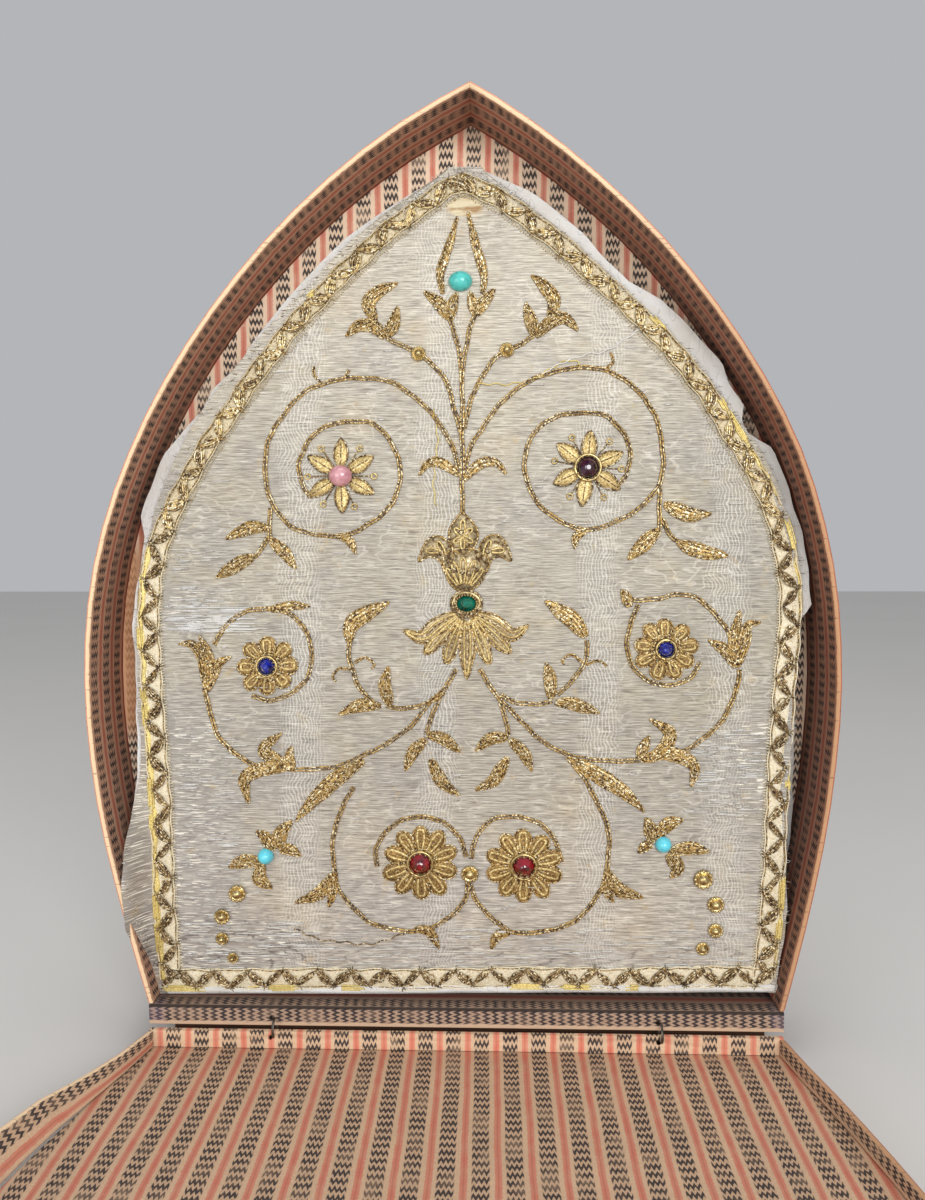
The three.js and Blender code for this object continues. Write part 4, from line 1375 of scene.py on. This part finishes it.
def build_flowers():
    """Two pointed flowers with stamens, four round ones with a double ring, the lily and the palmette."""
    for name, middle, turn in POINTED_FLOWERS:
        work = petal_flower(middle, 6, 17.6, turn, 4.2, 7.0, "rib")
        for k in range(6):
            angle = turn + 30 + 60 * k + rng.uniform(-6, 6)
            stamen = np.array([ray(middle, angle, r) for r in (5.5, 10.5, 15.2)])
            work.strand(lifted(even(stamen, 0.8), 0.5), 0.34)
            tip = ray(middle, angle, 15.6)
            loop = np.array([(tip[0] + 1.25 * math.cos(a), tip[1] + 1.25 * math.sin(a))
                             for a in np.linspace(0, 6.0, 12)])
            work.strand(lifted(loop, 0.6), 0.42, 5, 1)
        work.finished(name + "_worked", SATIN_FINISHES, replaces=[name], slot="gold_thread")
    for name, middle, count, radius, wide in ROUND_FLOWERS:
        work = petal_flower(middle, count, radius, 90, 4.6, wide, "loop")
        for r in (5.6, 7.0):
            ring = even(np.array([ray(middle, a, r + 0.3 * math.sin(a)) for a in range(0, 361, 8)]), 0.6)
            work.strand(lifted(ring, 1.3), beaded(ring, 0.45))
        work.finished(name + "_worked", FLOWER_FINISHES, replaces=[name], slot="gold_thread")
    work = Work()
    for outline in LILY_PLATES:
        plate(work, outline)
    for base, tip, wide in LILY_LOOPS:
        purl_loop(work, base, tip, wide)
    for x, z in LILY_SEQUINS:
        disc = [(1.4, 0.0), (1.4, 0.25), (0.4, 0.15)]
        work.grid(rings_on_cloth(x, z, 1.5, disc, 12), 3, closed=True, caps=True)
    work.finished("lily_worked", LILY_FINISHES, replaces=["lily"], slot="gold_thread")
    work = Work()
    for spine, wide, blunt in PALMETTE_PETALS:
        leaf(work, spine, wide, blunt, "loop")
    work.finished("palmette_worked", LILY_FINISHES, replaces=["palmette"], slot="gold_thread")


# The lily: outlines of its cup, its upright petal and its two curled petals, and the loops of purl on them
LILY_PLATES = [
    [(-11, 232.5), (-10, 224), (-6.5, 217.5), (-1.5, 215.3), (4, 217), (8, 222), (10, 231), (4, 235), (-5, 235)],
    [(-2.2, 252.5), (-6.5, 247), (-8.3, 242), (-6.5, 235.5), (-2, 232.8), (3.2, 235.5), (5.4, 242), (3.2, 247)],
    [(-7.5, 238), (-13, 241), (-18.5, 239), (-22.5, 229.5), (-17.5, 231.5), (-12.5, 229.5), (-10, 224), (-6.5, 231)],
    [(6.5, 238), (11, 241.5), (17, 240), (21, 229.8), (15.5, 231.5), (11.5, 229.5), (9, 224), (5.5, 231)],
]
LILY_LOOPS = [
    ((-1.8, 219), (-1.6, 231), 2.6), ((-3, 218.5), (-6.5, 229), 2.4), ((0.2, 218.5), (3.8, 229.5), 2.4),
    ((-4, 218), (-9.4, 226), 1.8), ((1.8, 218), (7.6, 226), 1.8),
    ((-1.8, 241), (-5.5, 244.6), 2), ((-1.8, 241), (-1.8, 248.5), 2.2), ((-1.8, 241), (2.6, 244.4), 2),
    ((-1.8, 241), (3, 238), 1.8), ((-1.8, 241), (-6, 238), 1.8), ((-1.8, 241), (-1.8, 235), 1.8),
    ((-10, 232), (-13.5, 238.5), 2.2), ((-13, 234), (-19, 234.5), 2.2), ((8, 232), (11, 239), 2.2),
    ((11.5, 234), (17.5, 234.5), 2.2),
]
LILY_SEQUINS = [(-2.5, 242.8), (-11.5, 232.8), (9.8, 234.1), (-7.9, 229.1), (-1.7, 233.9), (1.1, 223.6), (-2, 224.6),
                (4.7, 225.6), (-6.1, 225)]
# The palmette: each lobe's line, its width, and whether its end is blunt
PALMETTE_PETALS = [
    ([(-4, 205), (-13, 200), (-21, 194), (-29.8, 197)], 7.5, False),
    ([(-3, 204), (-11, 196), (-19.8, 186)], 6.4, True),
    ([(-2, 203), (-6, 193), (-9.8, 181.5)], 6.4, True),
    ([(3, 204), (11, 196), (20.5, 186.5)], 6.4, True),
    ([(2, 203), (6.5, 193), (10.4, 181.5)], 6.4, True),
    ([(4, 205), (13, 200.5), (21, 195), (28.8, 199.6)], 7.5, False),
    ([(0, 202), (0.3, 189), (0, 174.5)], 7.2, False),
]

# Stones and studs
# Name, place across and above, lift off the cloth, width, height, and how it is cut
STONES = [
    ("turquoise_top", -2.8, 358.7, 0.3, 11.0, 9.2, "dome"), ("pink_stone", -58.8, 269.2, 1.6, 11.0, 10.0, "dome"),
    ("turquoise_left", -95.6, 89.6, 0.3, 7.6, 7.6, "dome"), ("turquoise_right", 92.1, 96.7, 0.3, 7.6, 7.6, "dome"),
    ("purple_stone", 56.2, 272.6, 1.6, 10.4, 10.4, "cut"), ("green_stone", -0.1, 209.6, 0.3, 9.6, 8.0, "cut"),
    ("blue_stone_left", -94.1, 180.1, 1.6, 8.0, 8.0, "cut"), ("blue_stone_right", 92.6, 188.4, 1.6, 7.6, 7.6, "cut"),
    ("red_stone_left", -22.0, 86.9, 1.6, 10.3, 10.3, "cut"), ("red_stone_right", 26.8, 85.9, 1.6, 10.4, 10.4, "cut"),
]
# Name, place across and above, and width
STUDS = [
    ("stud_left_1", -109.5, 71.5, 8.2), ("stud_left_2", -116.9, 60.3, 7.4), ("stud_left_3", -117, 49.6, 6.2),
    ("stud_left_4", -111.9, 40.3, 5.2), ("stud_right_1", 110.9, 80.3, 9.0), ("stud_right_2", 116.8, 68.4, 7.8),
    ("stud_right_3", 116.8, 56, 6.9), ("stud_right_4", 110.9, 47.3, 6.2), ("stud_middle", 1.4, 81.9, 8.2),
    ("stud_upper_left", -22.3, 325.5, 6.8), ("stud_upper_right", 18.7, 326.9, 6.8),
]


def rings_on_cloth(x, z, lift, rings, sides):
    """Rings of points round a place on the cloth; each ring is (radius, height)."""
    rows = []
    for radius, high in rings:
        a = np.arange(sides) / sides * 2 * math.pi
        px = x + radius * np.cos(a)
        pz = z + radius * np.sin(a)
        flat_y = float(face(z)) + (pz - z) * 0.05
        rows.append(np.stack([px, flat_y - lift - high, pz + 0.05 * high], 1) * MM)
    return np.array(rows)


FACING_OUT = (math.radians(90), 0, 0)


def on_cloth(x, z, lift):
    """A place in metres above the cloth."""
    return (x * MM, (float(face(z)) - lift) * MM, z * MM)


def shaped(add, x, z, lift, stretch, **sizes):
    """A stock shape on the cloth, its top turned outwards, with its place and stretch worked into its mesh."""
    bpy.ops.object.select_all(action="DESELECT")
    add(location=on_cloth(x, z, lift), rotation=FACING_OUT, **sizes)
    shape = bpy.context.active_object
    shape.scale = [v * MM for v in stretch]
    bpy.ops.object.transform_apply(location=True, rotation=True, scale=True)
    return shape


def dome_on_cloth(x, z, lift, wide, tall, high):
    """The front half of a ball."""
    dome = shaped(bpy.ops.mesh.primitive_uv_sphere_add, x, z, lift, (wide / 2, tall / 2, high), segments=32,
                  ring_count=18, radius=1)
    worked(dome, (bpy.ops.mesh.bisect, {"plane_co": on_cloth(x, z, lift), "plane_no": (0, 1, 0),
                                        "use_fill": True, "clear_outer": True}))
    return dome


def cut_stone(x, z, lift, wide, tall):
    """A faceted stone with a small table."""
    stone = shaped(bpy.ops.mesh.primitive_cone_add, x, z, lift + 1.7, (1, tall / wide, 1), vertices=12,
                   radius1=wide / 2, radius2=wide * 0.14, depth=3.6)
    facets = stone.modifiers.new("facets", "BEVEL")
    facets.width = 0.45 * MM
    facets.segments = 1
    bpy.ops.object.modifier_apply(modifier="facets")
    return stone


def made_up(name, parts, finishes, replaces, smooth_angle=40):
    """Shapes joined into one piece."""
    bpy.ops.object.select_all(action="DESELECT")
    for part in parts:
        part.select_set(True)
    bpy.context.view_layer.objects.active = parts[0]
    if len(parts) > 1:
        bpy.ops.object.join()
    piece = parts[0]
    piece.name = piece.data.name = name
    wear(piece, *finishes)
    smoothed(smooth_angle)
    outwards(piece)
    return settle(piece, "root", replaces)


def ring_of(x, z, radius, tall, count):
    """Places evenly round an oval."""
    turns = [2 * math.pi * k / count for k in range(count)]
    return [(x + radius * math.cos(a), z + radius * tall * math.sin(a)) for a in turns]


def stone_setting(name, x, z, lift, wide, tall):
    """The metal rim round a cut stone, with its claws."""
    big = name == "green_stone"
    rim, count, claw = (2.2, 22, 0.62) if big else (1.0, 12, 0.46)
    middle = wide / 2 + 0.2 + rim / 2
    squash = tall / wide
    parts = [shaped(bpy.ops.mesh.primitive_torus_add, x, z, lift + 0.5, (1, squash, 1), major_radius=middle,
                    minor_radius=rim / 2 + 0.15, major_segments=40, minor_segments=10)]
    for px, pz in ring_of(x, z, wide / 2 + 0.1, squash, count):
        parts.append(shaped(bpy.ops.mesh.primitive_ico_sphere_add, px, pz, lift + 1.6, (claw, claw, 0.8),
                            subdivisions=2, radius=1))
    made_up(name + "_claws", parts, [GILT], [name + "_setting"])
    if big:
        cords = Work()
        for k in range(3):
            r = wide / 2 + 0.9 + 0.8 * k
            a = np.linspace(0, 2 * math.pi, 50)
            ring = np.stack([x + r * np.cos(a), z + r * np.sin(a) * (squash + 0.03)], 1)
            cords.strand(lifted(ring, 1.9 - 0.4 * k), beaded(ring, 0.5))
        cords.finished("green_stone_cords", [DARK_GOLD], slot="gold_thread")


def gilt_stud(name, x, z, wide):
    """A gilt dome in a rim of small beads."""
    r = wide / 2
    parts = [dome_on_cloth(x, z, 0.3, r * 1.32, r * 1.32, 3.2),
             shaped(bpy.ops.mesh.primitive_torus_add, x, z, 0.7, (1, 1, 1), major_radius=r * 0.76,
                    minor_radius=r * 0.2, major_segments=28, minor_segments=8)]
    for px, pz in ring_of(x, z, r * 0.86, 1, 12):
        parts.append(shaped(bpy.ops.mesh.primitive_ico_sphere_add, px, pz, 1.1, (r * 0.19,) * 3,
                            subdivisions=2, radius=1))
    made_up(name + "_gilt", parts, [GILT], [name])


def build_stones():
    turquoise_small = turquoise("turquoise_small", tone(96, 204, 224), tone(70, 170, 196))
    blue = gem("blue_glass", tone(22, 52, 184), tone(6, 12, 84))
    red = gem("red_glass", tone(164, 10, 38), tone(62, 2, 12))
    stone_finish = {
        "turquoise_top": turquoise("turquoise_top", tone(80, 190, 182), tone(52, 140, 134)),
        "pink_stone": gem("pink_glass", tone(214, 160, 164), tone(190, 126, 136), False),
        "turquoise_left": turquoise_small, "turquoise_right": turquoise_small,
        "purple_stone": gem("purple_glass", tone(78, 32, 64), tone(26, 8, 26)),
        "green_stone": gem("green_glass", tone(16, 140, 116), tone(6, 66, 56)),
        "blue_stone_left": blue, "blue_stone_right": blue, "red_stone_left": red, "red_stone_right": red,
    }
    for name, x, z, lift, wide, tall, kind in STONES:
        if kind == "dome":
            made_up(name + "_polished", [dome_on_cloth(x, z, lift, wide, tall, 4.5)], [stone_finish[name]],
                    [name], 180)
        else:
            made_up(name + "_polished", [cut_stone(x, z, lift, wide, tall)], [stone_finish[name]], [name],
                    5)
            stone_setting(name, x, z, lift, wide, tall)
    for name, x, z, wide in STUDS:
        gilt_stud(name, x, z, wide)


# Frayed threads
# White silk floats in the worn places: low and high x, low and high z, how many, shortest and longest
FLOAT_REGIONS = [(-140, -112, 34, 156, 130, 2, 9), (-144, -112, 196, 208, 60, 6, 24), (-143, -118, 208, 218, 26, 3, 12),
                 (-140, -122, 224, 236, 16, 2, 8), (100, 139, 110, 152, 120, 3, 12), (-139, -80, 38, 58, 60, 3, 16),
                 (-80, 130, 37, 56, 70, 3, 16), (-135, 135, 60, 330, 110, 2, 9)]


def build_frays():
    """Loose thread ends along the torn edges and at the point, and white floats in the worn places."""
    work = Work()
    for side in (-1, 1):
        for z in np.arange(26, 400, 0.8):
            half = float(reach(side, 1, z) + edge_wave(z, side, 0.8))
            turn = rng.uniform(-0.35, 0.35)
            x0 = side * (half - rng.uniform(0.6, 4.5)) + MIDDLE_X
            length = rng.uniform(0.8, 2.2) if side < 0 and z < 190 else rng.uniform(1.2, 4.2)
            x1 = x0 + side * length * math.cos(turn)
            z0 = float(uphill(x0, z))
            z1 = z0 + length * math.sin(turn)
            y0 = float(front_depth(np.array([x0]), z, np.array([0.97]))[0]) - 0.1
            middle = [(x0 + x1) / 2, y0 - rng.uniform(0, 0.6), (z0 + z1) / 2 + rng.uniform(-0.3, 0.3)]
            thread = np.array([[x0, y0, z0], middle, [x1, y0 + rng.uniform(-0.5, 0.8), z1]])
            limit = float(at(CASE_ROWS, 1, z1)) - 3.2
            thread[:, 0] = np.clip(thread[:, 0], -limit, limit)
            work.strand(thread * MM, [0.19, 0.17, 0.09], 3, rng.choice((0, 0, 1, 2)), out=(0.1, -1, 0.2))
    for _ in range(90):
        x0 = rng.uniform(-30, 30) + MIDDLE_X
        z0 = 411.5 - 0.62 * abs(x0 - MIDDLE_X) - rng.uniform(0, 4)
        slant = rng.uniform(-1.2, 1.2) + 0.01 * x0
        length = rng.uniform(2, 5.5)
        tip = (x0 + length * math.sin(slant), z0 + 0.8 * length * math.cos(slant))
        bend = ((x0 + tip[0]) / 2 + rng.uniform(-0.8, 0.8), (z0 + tip[1]) / 2)
        work.strand(lifted(drawn([(x0, z0), bend, tip], 0.8), 0.6), 0.17, 3, rng.choice((0, 0, 1)))
    work.finished("frayed_edges", [WHITE, SILVER, DARK_GOLD], slot="silver_cloth")
    work = Work()
    for x_low, x_high, z_low, z_high, count, shortest, longest in FLOAT_REGIONS:
        for _ in range(count):
            x = rng.uniform(x_low, x_high)
            z = rng.uniform(z_low, z_high)
            length = rng.uniform(shortest, longest)
            if not -float(reach(-1, 3, z)) + 5 < x < float(reach(1, 3, z)) - 6 - length:
                continue
            line = even(np.array([(x, z), (x + length, z + rng.uniform(-0.25, 0.25))]), 1.5)
            lift = 0.3 + 0.3 * np.sin(np.linspace(0, math.pi, len(line)))
            work.strand(lifted(line, lift), 0.34, 3, 0)
    work.finished("weft_floats", [WHITE], slot="silver_cloth")


STRAY_THREADS = [
    ("brown", 0.32, 0, [(-82.6, 54.3), (-70.6, 50), (-58.7, 48.3), (-45, 48), (-39.5, 49), (-30, 53.4)]),
    ("grey", 0.3, 1, [(33, 314), (44, 321), (52, 323.5), (66, 327), (80, 336)]),
    ("yellow", 0.3, 2, [(4, 311), (20, 311.5), (30, 313), (40, 319), (50, 322), (52.5, 318)]),
    ("yellow_low", 0.26, 2, [(-14, 255), (-15.5, 268), (-13.5, 282), (-15, 300)]),
]


def build_threads():
    """Threads that have come loose, and the white lining turned up under the hem."""
    for name, radius, finish, points in STRAY_THREADS:
        work = Work()
        line = drawn(points, 0.7)
        s = travelled(line)
        line = beside(line, 0.45 * np.sin(s / 1.3) + 0.3 * np.sin(s / 3.1))
        work.strand(lifted(line, 0.6 + 0.3 * np.sin(s / 4)), radius)
        work.finished("stray_thread_" + name, [(DARK_GOLD, WHITE, YELLOW_SILK)[finish]], slot="gold_thread")
    work = Work()
    x = np.linspace(-144, 146, 200)
    rows = []
    for low, lift in ((0.4, 0.3), (0.2, 0.8), (1.6, 1.0), (3.2, 0.95), (3.6, 0.5), (3.4, 0.2)):
        tall = uphill(x, 22.0) + low + 0.35 * np.sin(x / 6.3 + low) * (low > 1)
        rows.append(lifted(np.stack([x, tall], 1), lift + 0.15 * np.sin(x / 11)))
    work.grid(np.stack(rows, 1), closed=True, caps=True)
    work.finished("lining_turned_up", [WHITE], slot="lining_cloth")


# Name, place in metres, size and power
LAMPS = [("key", (0.45, -1.4, 0.6), 0.6, 12), ("fill", (-0.7, -1.3, 0.25), 0.9, 8), ("top", (0.0, -0.3, 1.7), 0.8, 5)]


def build_stage():
    """The pale floor, a plain bright surrounding and three soft lamps."""
    bpy.ops.mesh.primitive_plane_add(size=6)
    ground = bpy.context.active_object
    ground.name = "floor"
    f = Finish("studio_floor", tone(214, 211, 206))
    f.paint(f.noise(f.joined(f.x, f.y), 300), tone(220, 217, 212))
    ground.data.materials.append(f.done(Roughness=0.9))
    world = bpy.data.worlds.new("studio")
    bpy.context.scene.world = world
    world.use_nodes = True
    world.node_tree.nodes["Background"].inputs[0].default_value = (0.82, 0.84, 0.88, 1)
    world.node_tree.nodes["Background"].inputs[1].default_value = 0.55
    for name, place, size, power in LAMPS:
        lamp = bpy.data.lights.new(name, "AREA")
        lamp.size = size
        lamp.energy = power
        holder = bpy.data.objects.new(name, lamp)
        bpy.context.scene.collection.objects.link(holder)
        target = np.array([0, -0.05, 0.2]) - np.array(place)
        z_axis = -target / np.linalg.norm(target)
        x_axis = np.cross([0, 0, 1], z_axis)
        x_axis /= np.linalg.norm(x_axis)
        y_axis = np.cross(z_axis, x_axis)
        holder.matrix_world = Matrix([[x_axis[r], y_axis[r], z_axis[r], place[r]] for r in range(3)]
                                     + [[0, 0, 0, 1]])
    bpy.context.scene.view_settings.view_transform = "Standard"


set_camera()
build_case()
build_cloth()
build_braid()
build_stems()
build_flowers()
build_stones()
build_frays()
build_threads()
build_stage()
